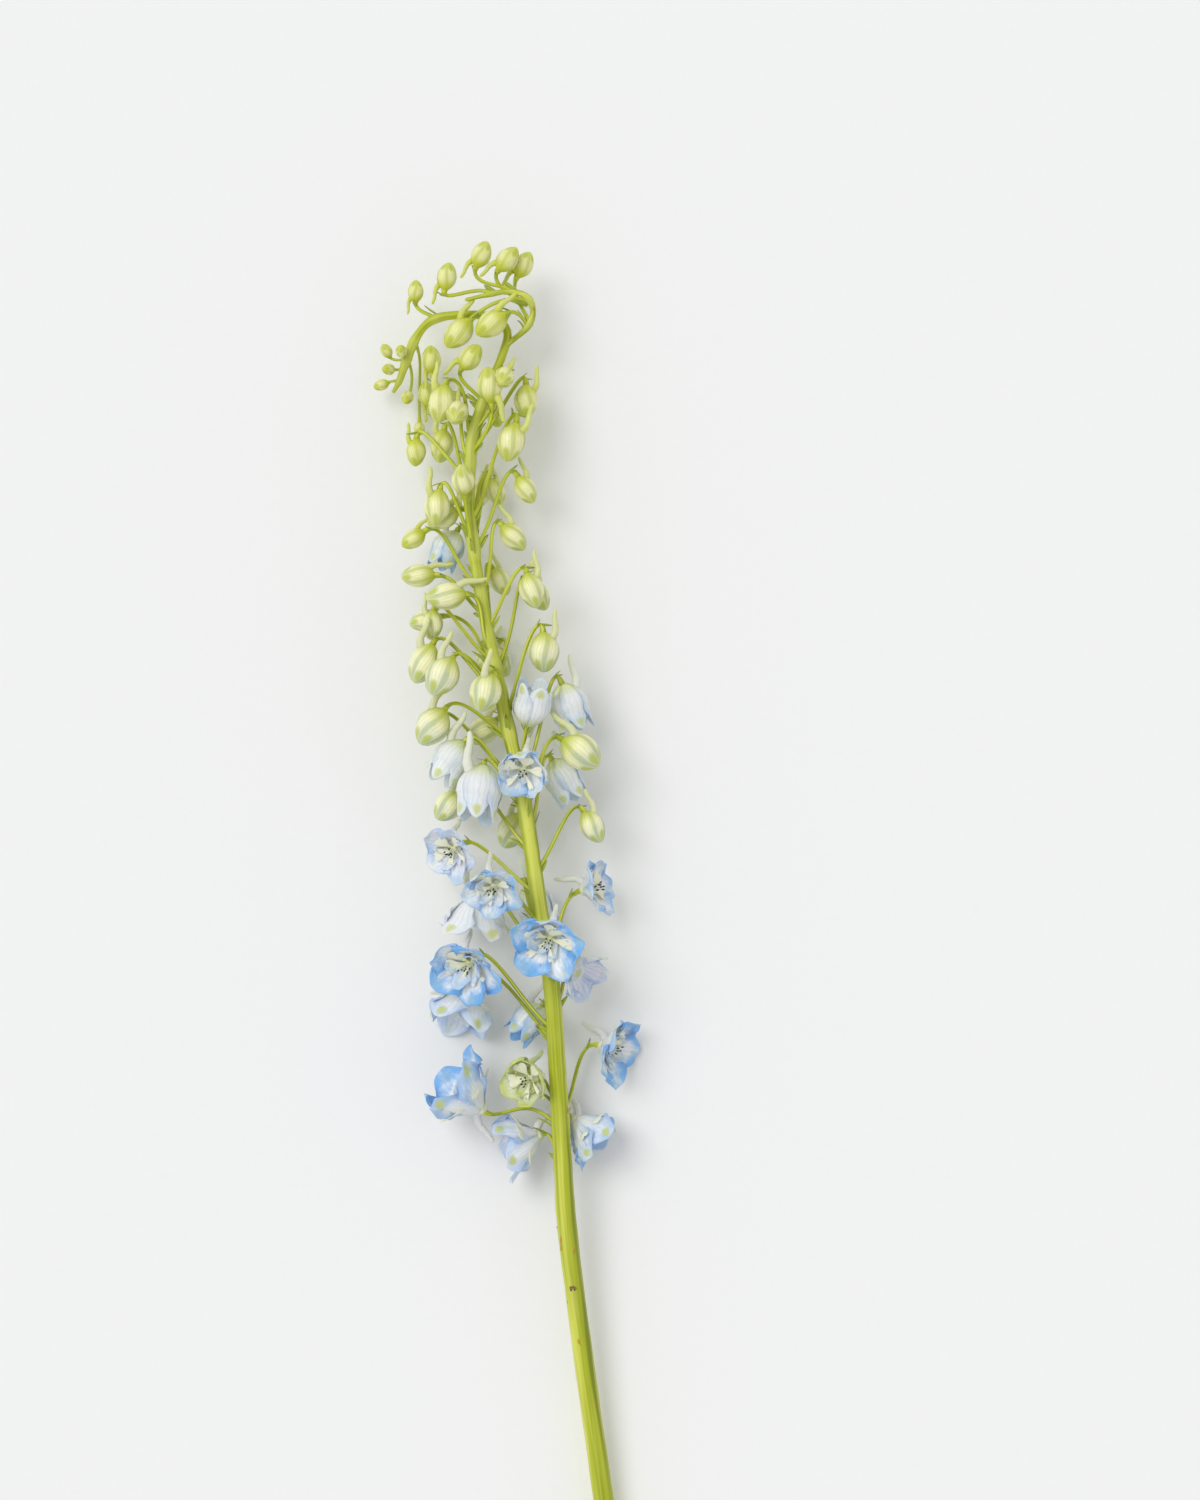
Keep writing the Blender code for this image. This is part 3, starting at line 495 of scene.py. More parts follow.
def contacts(first: Array, second: Array, reach: Array, allowed: Array) -> tuple:
    """Pairs of two sets of places that may touch while the blooms settle."""
    space = np.linalg.norm(first[:, None] - second, axis=2)
    return np.nonzero(allowed & (space < reach))


def press(first: Array, second: Array, pairs: tuple, reach: Array) -> Array:
    """How deep each pair is pressed together, as a vector from the second to the first."""
    away = first[pairs[0]] - second[pairs[1]]
    space = np.linalg.norm(away, axis=1) + 1e-6
    return away * (np.maximum(reach - space, 0.0) / space)[:, None]


class Raceme:
    """All blooms with their places, and the pedicels that reach them."""

    def __init__(self, blooms: tuple[Bloom, ...], stem: Line, branch: Line, rule: Settling) -> None:
        """Places the blooms as drawn and lets them settle.

        Args:
            blooms: All blooms, in the order that the rule settles them.
            stem: Coarse line of the stem.
            branch: Coarse line of the side branch.
            rule: The numbers of the rule.
        """
        self.blooms = blooms
        self.rule = rule
        lines = [branch if bloom.on_branch else stem for bloom in blooms]
        self.feet = np.array([line.at(bloom.leaves)[:3] for bloom, line in zip(blooms, lines)])
        self.up_stem = np.array([line.direction(bloom.leaves) for bloom, line in zip(blooms, lines)])
        self.middles = np.array([self.drawn_middle(bloom, stem) for bloom in blooms])
        self.axes = np.array([self.drawn_axis(bloom) for bloom in blooms])
        self.depths = np.array([SEPAL.middle_height(bloom) for bloom in blooms])
        self.bows = np.zeros_like(self.middles)
        self.frames = np.array([self.frame(index) for index in range(len(blooms))])
        self.posts = np.vstack((stem.points, branch.points))
        self.settle()

    @staticmethod
    def drawn_middle(bloom: Bloom, stem: Line) -> Array:
        """The bloom's middle as drawn, at its lift over the stem beside it."""
        nearest = np.argmin(np.hypot(stem.points[:, 0] - bloom.x, stem.points[:, 1] - bloom.y))
        return np.array([bloom.x, bloom.y, stem.points[nearest, 2] + bloom.lift])

    @staticmethod
    def drawn_axis(bloom: Bloom) -> Array:
        """The way the bloom's mouth points."""
        heading, rise = math.radians(bloom.heading), math.radians(bloom.rise)
        level = math.cos(rise)
        return np.array([level * math.cos(heading), level * math.sin(heading), math.sin(rise)])

    def frame(self, index: int) -> Array:
        """Columns of a bloom's own frame: sideways, towards its spur, and along its axis."""
        axis = self.axes[index]
        inward = self.feet[index] - self.bases()[index]
        spurward = unit(-(inward - axis * inward.dot(axis)))
        return np.column_stack((np.cross(spurward, axis), spurward, axis))

    def bases(self) -> Array:
        """Where each bloom sits on its pedicel."""
        return self.middles - self.axes * self.depths[:, None]

    def pedicels(self, shares: Array, gap: float) -> Array:
        """Points on every pedicel.

        Args:
            shares: Shares of the way from the stem to the bloom.
            gap: Space left free before the bloom's base.

        Returns:
            A point for each share and bloom.
        """
        ends = self.bases() - self.axes * gap
        reach = ends - self.feet
        spans = np.linalg.norm(reach, axis=1)[:, None]
        outward = reach - self.up_stem * np.sum(reach * self.up_stem, axis=1)[:, None]
        outward /= np.linalg.norm(outward, axis=1)[:, None]
        leaving = (outward + self.rule.climb * self.up_stem) * spans * self.rule.leaving
        arriving = self.axes * spans * self.rule.arriving
        share = np.asarray(shares, dtype=float)[:, None, None]
        start = (2 * share**3 - 3 * share**2 + 1) * self.feet + (share**3 - 2 * share**2 + share) * leaving
        finish = (3 * share**2 - 2 * share**3) * ends + (share**3 - share**2) * arriving
        return start + finish + sway(share) * self.bows

    def fillers(self, bloom: Bloom) -> Iterator[tuple]:
        """Spheres that fill a bloom in its own frame: x, y, z, radius and whether it is the spur's."""
        rule, size = self.rule, bloom.size
        if bloom.form.plump:
            for share, part in rule.bud_spheres:
                yield 0, 0, share * size, part * bloom.form.plump * size, False
        else:
            length = SEPAL.length(bloom)
            for index in range(SEPAL.count):
                turn = math.radians(90 + 360 * index / SEPAL.count)
                for share, part in rule.sepal_spheres:
                    out, up = SEPAL.spot(bloom.form, length, share)
                    yield out * math.cos(turn), out * math.sin(turn), up, part * length, False
            share, part = rule.heart_sphere
            yield 0, 0, SEPAL.spot(bloom.form, length, share)[1], part * length, False
        if has_spur(bloom):
            root, tip, thick, thin = spur_ends(bloom)
            for share in rule.spur_spheres:
                yield *(root + (tip - root) * share), thick + (thin - thick) * share, True

    def spheres(self) -> tuple[Array, Array, Array, Array]:
        """Every bloom's spheres: owner, place from the middle, radius and whether it is a spur's."""
        owners, places, radii, spurs = [], [], [], []
        for index, bloom in enumerate(self.blooms):
            for *place, radius, spur in self.fillers(bloom):
                owners.append(index)
                places.append(self.frames[index] @ (np.array(place) - (0, 0, self.depths[index])))
                radii.append(radius)
                spurs.append(spur)
        return np.array(owners), np.array(places), np.array(radii), np.array(spurs)

    def settle(self) -> None:
        """Let blooms, pedicels, stem and surface push each other clear, more in depth than across."""
        rule = self.rule
        owners, places, radii, spurs = self.spheres()
        nodes = np.array([bloom.node for bloom in self.blooms])
        closed = np.array([bloom.form.plump > 0 for bloom in self.blooms])
        firm = radii * np.where(closed[owners], rule.firm_bud, rule.firm_sepal)
        count = len(self.blooms)
        shares = np.linspace(*rule.stalk_steps)
        swing = np.repeat(sway(shares), count)
        carriers = np.tile(np.arange(count), len(shares))
        late = np.repeat(shares > rule.stalk_end, count)
        spheres = self.middles[owners] + places
        stalks = self.pedicels(shares, rule.seat_gap).reshape(-1, 3)

        mates = (nodes[owners][:, None] == nodes[owners]) & (nodes[owners] != GREEN_NODE)
        reach = radii[:, None] + radii + np.where(mates, -rule.pressed, rule.clearance)
        side = contacts(spheres, spheres, reach + rule.reach, np.triu(owners[:, None] != owners))
        reach_side = reach[side]
        reach = np.broadcast_to(radii + rule.stalk / 2 + rule.clearance, (len(stalks), len(spheres)))
        own = (carriers[:, None] == owners) & (late[:, None] | spurs)
        cross = contacts(stalks, spheres, reach + rule.reach, ~own)
        reach_cross = reach[cross]
        reach = radii[:, None] + self.posts[:, 3] / 2 + rule.clearance
        post = contacts(spheres, self.posts[:, :3], reach + rule.reach, np.full(reach.shape, True))
        reach_post = reach[post]

        for _ in range(rule.steps):
            spheres = self.middles[owners] + places
            stalks = self.pedicels(shares, rule.seat_gap).reshape(-1, 3)
            shift, bow = np.zeros_like(self.middles), np.zeros_like(self.bows)
            force = press(spheres, spheres, side, reach_side) / 2
            np.add.at(shift, owners[side[0]], force)
            np.add.at(shift, owners[side[1]], -force)
            force = press(stalks, spheres, cross, reach_cross)
            np.add.at(bow, carriers[cross[0]], rule.bend * swing[cross[0]][:, None] * force)
            np.add.at(shift, owners[cross[1]], -rule.nudge * force)
            force = press(spheres, self.posts[:, :3], post, reach_post)
            np.add.at(shift, owners[post[0]], rule.shoulder * force)
            np.add.at(shift[:, 2], owners, np.maximum(firm - spheres[:, 2], 0.0))
            low = np.maximum(rule.stalk / 2 + rule.clearance - stalks[:, 2], 0.0)
            np.add.at(bow[:, 2], carriers, low * swing)
            self.lean_on_mates(nodes, shift)
            step = np.clip(rule.rate * shift, -rule.longest, rule.longest)
            self.middles += step * np.array(rule.give)
            self.bows += np.clip(rule.rate * bow, -rule.longest, rule.longest)

    def lean_on_mates(self, nodes: Array, shift: Array) -> None:
        """Blooms that share a node lean on each other.

        Args:
            nodes: Each bloom's node.
            shift: Each bloom's next step, changed in place.
        """
        for node in sorted(set(nodes) - {GREEN_NODE}):
            pair = np.flatnonzero(nodes == node)
            if len(pair) == 2:
                lean = self.rule.nudge * unit(self.middles[pair[1]] - self.middles[pair[0]])
                shift[pair[0]] += lean
                shift[pair[1]] -= lean


class Kind(Enum):
    """The kinds of surface that a finish tells apart, by the number that it reads."""

    # Sepal, cream petal or main stem
    MAIN = 0.0
    # Spur, pedicel or filament
    STALK = 1.0
    # Small petal or heart of a bell, scar or anther
    INNER = 2.0


@dataclass(frozen=True)
class Trait:
    """What a surface is, for its finish.

    Args:
        kind: Its kind.
        chance: A chance value of 0 to 1 that sets it apart from its neighbours.
        tone: The bloom's colouring.
    """

    kind: Kind
    chance: float
    tone: Tone


class Stock:
    """Growing store of one piece's points, faces and surface values."""

    def __init__(self) -> None:
        """Starts empty."""
        self.points: list[Array] = []
        self.faces: list[Array] = []
        self.values: dict[str, list[Array]] = {"place": [], "tone": [], "trait": []}
        self.count = 0

    def add(
        self,
        points: Array,
        faces: list[Array],
        place: Array,
        trait: Trait,
        swelling: Array | float = 0.0,
    ) -> None:
        """Takes in one closed body.

        Args:
            points: Its points, in the drawing frame or in the frame that take() then turns.
            faces: Arrays of quads or triangles.
            place: For each point, its share along, then its share across and whether it is on the back,
                or on a round body the cosine and sine of its turn.
            trait: What the surface is.
            swelling: How far each point is raised by a swelling.
        """
        tone = trait.tone
        self.points.append(points)
        self.faces.extend(part + self.count for part in faces)
        self.values["place"].append(place)
        self.values["tone"].append(np.tile((tone.blue, tone.lilac, tone.green), (len(points), 1)))
        traits = np.tile((trait.kind.value, trait.chance, 0.0), (len(points), 1))
        traits[:, 2] = swelling
        self.values["trait"].append(traits)
        self.count += len(points)

    def take(self, other: "Stock", turn: Array, middle: Array) -> None:
        """Takes in all of another store, turned and moved.

        Args:
            other: The store to take in.
            turn: Columns of its frame.
            middle: Its origin.
        """
        for points in other.points:
            self.points.append(points @ turn.T + middle)
        self.faces.extend(part + self.count for part in other.faces)
        for name, parts in other.values.items():
            self.values[name].extend(parts)
        self.count += other.count

    def piece(
        self, name: str, material: bpy.types.Material, slot: str, nodes: list[str]
    ) -> bpy.types.Object:
        """Makes the stored bodies into one piece of the object.

        Args:
            name: The piece's name.
            material: Its material.
            slot: The record's slot that its finish stands for; it only decides whether the piece gets
                sharp seams.
            nodes: The solids that it replaces.

        Returns:
            The piece, in metres in the row's frame.
        """
        points = np.concatenate(self.points)
        points[:, 2] = np.maximum(points[:, 2], LOWEST)
        points = (points - (*ORIGIN, 0.0)) * MM
        mesh = bpy.data.meshes.new(name)
        mesh.from_pydata(points.tolist(), [], [face for part in self.faces for face in part.tolist()])
        for title, parts in self.values.items():
            values = mesh.attributes.new(title, "FLOAT_VECTOR", "POINT")
            values.data.foreach_set("vector", np.concatenate(parts).astype(np.float32).ravel())
        tidy = bmesh.new()
        tidy.from_mesh(mesh)
        bmesh.ops.recalc_face_normals(tidy, faces=tidy.faces)
        tidy.to_mesh(mesh)
        tidy.free()
        mesh.shade_smooth()
        if slot == BUD_SLOT:
            mesh.set_sharp_from_angle(angle=SEAM_ANGLE)
        mesh.materials.append(material)
        made = joined(name, mesh)
        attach(made, "root")
        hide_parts(*nodes)
        LOG.info("%s: %d faces", name, len(mesh.polygons))
        return made


def joined(name: str, data: Any) -> bpy.types.Object:
    """New object of the scene."""
    made = bpy.data.objects.new(name, data)
    bpy.context.scene.collection.objects.link(made)
    return made


def grid_faces(rows: int, columns: int, closed: bool = False) -> Array:
    """Quads of a grid of points, wrapped round if closed."""
    row = np.arange(rows - 1)[:, None] * columns
    column = np.arange(columns if closed else columns - 1)[None, :]
    beside = (column + 1) % columns
    quads = (row + column, row + beside, row + columns + beside, row + columns + column)
    return np.stack(quads, axis=-1).reshape(-1, 4)


def blade_grid(rows: int, columns: int, crowded: bool = False) -> tuple[Array, Array]:
    """Places on a blade at each point of a grid.

    Args:
        rows: Points along it.
        columns: Points across it.
        crowded: Whether the points stand closer towards the margins.

    Returns:
        The share along, and the place across from -1 to 1.
    """
    across = np.linspace(-1, 1, columns)
    if crowded:
        across = np.sin(across * np.pi / 2)
    return np.linspace(0, 1, rows)[:, None] * np.ones((1, columns)), across[None, :] * np.ones((rows, 1))


def blade(
    stock: Stock, face: Array, thickness: float, along: Array, across: Array, trait: Trait
) -> None:
    """Adds a thin closed blade, thinner towards its margin.

    Args:
        stock: Where it goes.
        face: Its inner face, as a grid of points.
        thickness: Its thickness in the middle.
        along: Each point's share of the blade's length.
        across: Each point's place across, from -1 to 1.
        trait: What the surface is.
    """
    rows, columns = face.shape[:2]
    normal = np.cross(np.gradient(face, axis=1), np.gradient(face, axis=0))
    normal /= np.linalg.norm(normal, axis=2)[:, :, None] + 1e-9
    depth = thickness * (1 - MARGIN_THINNING * np.abs(across) ** 3) * (1 - TIP_THINNING * along**4)
    back = face + normal * depth[:, :, None]
    size = rows * columns
    order = np.arange(size).reshape(rows, columns)
    rim = np.concatenate((order[0, :], order[1:, -1], order[-1, -2::-1], order[-2:0:-1, 0]))
    beside = np.roll(rim, -1)
    sides = np.stack((rim, beside, beside + size, rim + size), axis=1)
    quads = grid_faces(rows, columns)
    points = np.concatenate((face.reshape(-1, 3), back.reshape(-1, 3)))
    flat = np.stack((along.ravel(), across.ravel()), axis=1)
    place = np.concatenate((np.insert(flat, 2, 0.0, axis=1), np.insert(flat, 2, 1.0, axis=1)))
    stock.add(points, [quads[:, ::-1], quads + size, sides], place, trait)


def skin(
    stock: Stock,
    rings: Array,
    ends: tuple[Array, Array],
    place: Array,
    trait: Trait,
    swelling: Array | None = None,
) -> None:
    """Adds a closed skin through rings of points, with a point at each end.

    Args:
        stock: Where it goes.
        rings: Rings of points.
        ends: The first and the last point.
        place: For each point of the rings, its three place values.
        trait: What the surface is.
        swelling: How far each point of the rings is raised by a swelling.
    """
    rows, columns = rings.shape[:2]
    size = rows * columns
    column = np.arange(columns)
    beside = (column + 1) % columns
    first = np.stack((np.full(columns, size), beside, column), axis=1)
    top = size - columns
    last = np.stack((np.full(columns, size + 1), column + top, beside + top), axis=1)
    points = np.concatenate((rings.reshape(-1, 3), ends[0][None], ends[1][None]))
    end_values = (place[0].mean(axis=0)[None], place[-1].mean(axis=0)[None])
    values = np.concatenate((place.reshape(-1, 3), *end_values))
    raised = 0.0 if swelling is None else np.concatenate((swelling.ravel(), (0.0, 0.0)))
    stock.add(points, [grid_faces(rows, columns, closed=True), first, last], values, trait, raised)


def carried_sides(path: Array) -> tuple[Array, Array, Array]:
    """Way, side and second side at each point of a path, with no twist along it."""
    ways = np.gradient(path, axis=0)
    ways /= np.linalg.norm(ways, axis=1)[:, None]
    start = np.array((0.0, 0.0, 1.0)) if abs(ways[0, 2]) < 0.9 else np.array((1.0, 0.0, 0.0))
    side = unit(start - ways[0] * ways[0].dot(start))
    sides = []
    for way in ways:
        side = unit(side - way * way.dot(side))
        sides.append(side)
    first = np.array(sides)
    return ways, first, np.cross(ways, first)


def turns_round(sides: int) -> Array:
    """Even turns round a path, as a row."""
    return np.linspace(0, 2 * np.pi, sides, endpoint=False)[None, :]


def ways_out(turns: Array, first: Array, second: Array) -> Array:
    """Way out of a path at each of its points and turns."""
    return np.cos(turns)[:, :, None] * first[:, None] + np.sin(turns)[:, :, None] * second[:, None]


def round_place(along: Array, turns: Array) -> Array:
    """Place values of a round body: share along, cosine and sine of the turn."""
    return np.stack((along, np.cos(turns) + 0 * along, np.sin(turns) + 0 * along), axis=2)


def tube(
    stock: Stock, path: Array, radii: Array, sides: int, trait: Trait, blunt: float = 0.5
) -> None:
    """Adds a rounded tube.

    Args:
        stock: Where it goes.
        path: Points along it.
        radii: Its radius at each point, or at each point and side.
        sides: Points round it.
        trait: What the surface is.
        blunt: How far each end bulges, as a share of its radius.
    """
    ways, first, second = carried_sides(path)
    turns = turns_round(sides)
    radii = np.broadcast_to(radii if radii.ndim == 2 else radii[:, None], (len(path), sides))
    rings = path[:, None] + radii[:, :, None] * ways_out(turns, first, second)
    along = np.broadcast_to(np.linspace(0, 1, len(path))[:, None], (len(path), sides))
    ends = (path[0] - ways[0] * radii[0].mean() * blunt, path[-1] + ways[-1] * radii[-1].mean() * blunt)
    skin(stock, rings, ends, round_place(along, turns), trait)


@dataclass
class Maker:
    """Builder of a bloom or of its eye, in the bloom's own frame.

    Args:
        bloom: The bloom.
        tone: Its colouring.
        seed: Seed of its small differences.
    """

    bloom: Bloom
    tone: Tone
    seed: int

    def __post_init__(self) -> None:
        """Starts the source of its small differences, and an empty store."""
        self.chance = np.random.default_rng(self.seed)
        self.stock = Stock()


@dataclass
class OpenBloom(Maker):
    """Five broad, waved sepals with a spur, the upper one bent in as a hood, and petals inside them.

    Args:
        rows: Points along a sepal.
        columns: Points across a sepal.
        thickness: Thickness of a sepal, in millimetres.
        rounding: How much shorter a sepal is at its margin than in its middle, and how suddenly.
        nicks: Depth of the nicks in its tip, as a share of its length.
        ruffle: Height of the waves at a margin as a share of a sepal's length.
        waves: Waves along a margin.
        pleat: Height of the soft lengthwise pleats, in millimetres.
        flare: How far a sepal's tip turns out, in degrees.
        hood: How far the upper sepal's tip bends in over the eye, in degrees.
        opening: How much steeper the feet of spread sepals stand than their form says, in degrees.
        closing: How far the tips of spread sepals close up again, in degrees.
        stretch: How much longer spread sepals are than their form says.
        widening: Greatest width of a sepal, as a share of its form's breadth.
        crowding: Half width that a sepal may have at its foot and gains up to its tip, as shares of its
            distance from the axis.
        crease: Depth of the crease along its middle, in millimetres, and its width across.
    """

    rows: int = 24
    columns: int = 25
    thickness: float = 0.32
    rounding: tuple[float, float] = (0.30, 2.2)
    nicks: float = 0.02
    ruffle: float = 0.055
    waves: float = 1.5
    pleat: float = 0.12
    flare: float = 16.0
    hood: float = 78.0
    opening: float = 8.0
    closing: float = 15.0
    stretch: float = 1.06
    widening: float = 1.36
    crowding: tuple[float, float] = (0.62, 0.55)
    crease: tuple[float, float] = (0.3, 0.16)

    def build(self) -> Stock:
        """Builds the bloom in its own frame."""
        chance = self.chance
        form, length = self.bloom.form, SEPAL.length(self.bloom)
        if form.lean[1] > form.lean[0]:
            form = replace(form, lean=(form.lean[0] - self.opening, form.lean[1] - self.closing))
            length *= self.stretch
        for index in range(SEPAL.count):
            turn = math.radians(90 + 360 * index / SEPAL.count + chance.uniform(-7, 7))
            width = form.breadth * length * self.widening * chance.uniform(0.98, 1.1)
            trait = Trait(Kind.MAIN, chance.uniform(), self.tone)
            flare = self.flare * chance.uniform(-0.7, 1.2)
            if index == 0 and form.eye:
                flare = -self.hood * chance.uniform(0.85, 1.1)
            reach = length * chance.uniform(0.94, 1.04)
            self.sepal(form, reach, width, turn, flare, trait)
        self.inner_petals(form, length)
        self.core()
        Spur(self.bloom, self.tone).build(self.stock)
        return self.stock

    def inner_petals(self, form: Form, length: float) -> None:
        """Adds the smaller petals that stand round the eye.

        Args:
            form: The bloom's form.
            length: Length of its sepals.
        """
        chance = self.chance
        count = 3 + form.inner_petals if form.eye else 0
        pale = replace(self.tone, blue=0.6 * self.tone.blue)
        for index in range(count):
            foot_lean = form.lean[0] - chance.uniform(4, 14)
            lean = (foot_lean, max(6.0, form.lean[1] - chance.uniform(10, 34)))
            turn = math.radians(126 + 360 * index / max(count, 5) + chance.uniform(-14, 14))
            size = length * chance.uniform(0.50, 0.74)
            trait = Trait(Kind.INNER, chance.uniform(), pale)
            flare = self.flare * chance.uniform(-2.5, 1.0)
            self.sepal(Form(lean=lean, cupping=1.2), size, 0.66 * size, turn, flare, trait)

    def sepal(
        self, form: Form, length: float, width: float, turn: float, flare: float, trait: Trait
    ) -> None:
        """Adds one cupped sepal with a waved margin.

        Args:
            form: Attitude of the sepal.
            length: Its length.
            width: Its greatest width.
            turn: Its place round the axis.
            flare: How far its tip turns out, in degrees.
            trait: What the surface is.
        """
        chance = self.chance
        along, across = blade_grid(self.rows, self.columns, crowded=True)
        shorter, power = self.rounding
        share = along * (1 - shorter * np.abs(across) ** power)
        phase = chance.uniform(0, 2 * np.pi)
        share = share + self.nicks * np.sin(6 * across + phase) * smooth(along, 0.7, 1.0)
        tilt = chance.uniform(-10, 6)
        leans = (form.lean[0], form.lean[1] + tilt)
        out, up, lean = self.midline(leans, length, flare, share)
        start, rise, bulge = SEPAL.swell
        swell = np.sin(np.pi * (start + rise * along)) ** bulge
        half = np.minimum(width / 2 * swell, (self.crowding[0] + self.crowding[1] * share) * out)
        upper = smooth(along, 0.0, 0.5)
        curl = (1 - upper) / (out + 1.0) + upper * 2 * form.cupping / length
        curl = curl * (1 - 0.35 * smooth(along, 0.6, 1.0))
        angle = across * half * curl
        side = np.sin(angle) / curl + chance.uniform(-0.06, 0.06) * length * along**2
        fold = (1 - np.cos(angle)) / curl + SEPAL.twist * side
        wave = np.sin(2 * np.pi * self.waves * along + phase + 1.3 * np.sign(across))
        wave = wave + 0.45 * np.sin(2 * np.pi * 2.7 * self.waves * along - 2 * phase)
        tips = np.sin(6 * across - phase) * smooth(along, 0.7, 1.0)
        waved = np.abs(across) ** 2.2 * smooth(along, 0.1, 0.9) * wave
        fold += self.ruffle * length * (waved + 0.5 * tips)
        fold += self.pleat * np.cos(10 * across + phase) * smooth(along, 0.1, 0.5)
        creased = smooth(along, 0.1, 0.4) * (1 - smooth(along, 0.75, 1.0))
        fold -= self.crease[0] * np.exp(-((across / self.crease[1]) ** 2)) * creased
        outward, upward = out - fold * np.cos(lean), up + fold * np.sin(lean)
        x = outward * math.cos(turn) - side * math.sin(turn)
        y = outward * math.sin(turn) + side * math.cos(turn)
        blade(self.stock, np.stack((x, y, upward), axis=2), self.thickness, along, across, trait)

    @staticmethod
    def midline(
        leans: tuple[float, float], length: float, flare: float, share: Array
    ) -> tuple[Array, Array, Array]:
        """Where a sepal's midline runs.

        Args:
            leans: Lean from the axis at its foot and tip, in degrees.
            length: Its length.
            flare: How far its tip turns out, in degrees.
            share: Shares of the length to read it at.

        Returns:
            Distance from the axis, height over the base, and lean in radians, at each share.
        """
        steps = np.linspace(0, 1.1, 67)
        bent = leans[0] + (leans[1] - leans[0]) * steps + flare * smooth(steps, 0.55, 1.1)
        bent = np.radians(bent)
        run = length * (steps[1] - steps[0])
        outs = SEPAL.root + np.concatenate(([0], np.cumsum(np.sin(bent[:-1])))) * run
        ups = SEPAL.foot + np.concatenate(([0], np.cumsum(np.cos(bent[:-1])))) * run
        return tuple(np.interp(share, steps, values) for values in (outs, ups, bent))

    def core(self) -> None:
        """Adds the small green-white heart that the sepals grow from."""
        path = np.linspace((0, 0, -0.3), (0, 0, 4.0), 7)
        radii = np.array((1.0, 2.0, 2.7, 2.8, 2.5, 1.8, 0.9))
        tube(self.stock, path, radii, 12, Trait(Kind.STALK, 0.2, Tone(0.0, 0.0, 0.15)))


@dataclass
class Spur:
    """Tapering, slightly wrinkled spur at the back of a bloom.

    Args:
        bloom: The bloom.
        tone: Its colouring.
        rows: Points along it.
        sides: Points round it.
        arch: How far it bows away from the pedicel, as a share of its length.
        wrinkle: Depth of its wrinkles, as a share of its radius.
        groove: Depth of the groove along it, as a share of its radius.
    """

    bloom: Bloom
    tone: Tone
    rows: int = 20
    sides: int = 12
    arch: float = 0.10
    wrinkle: float = 0.07
    groove: float = 0.10

    def build(self, stock: Stock) -> None:
        """Adds the spur in the bloom's own frame."""
        root, tip, thick, thin = spur_ends(self.bloom)
        share = np.linspace(0, 1, self.rows)[:, None]
        length = np.linalg.norm(tip - root)
        bow = self.arch * length * np.sin(np.pi * share) + 0.05 * length * np.sin(2 * np.pi * share)
        path = root + (tip - root) * share + bow * np.array((0.15, 0.9, 0.2))
        radii = thick * 1.15 + (thin * 1.05 - thick * 1.15) * share[:, 0] ** 0.85
        radii[-1] *= 0.72
        radii = radii * (1 + self.wrinkle * np.sin(share[:, 0] * 26 + self.bloom.x))
        round_part = np.exp(-((np.cos(turns_round(self.sides)) - 1) ** 2) / 0.1)
        grooved = 1 - self.groove * round_part * smooth(share, 0.1, 0.4)
        chance = (self.bloom.x * 0.37) % 1.0
        trait = Trait(Kind.STALK, chance, self.tone)
        tube(stock, path, radii[:, None] * grooved, self.sides, trait, blunt=0.8)


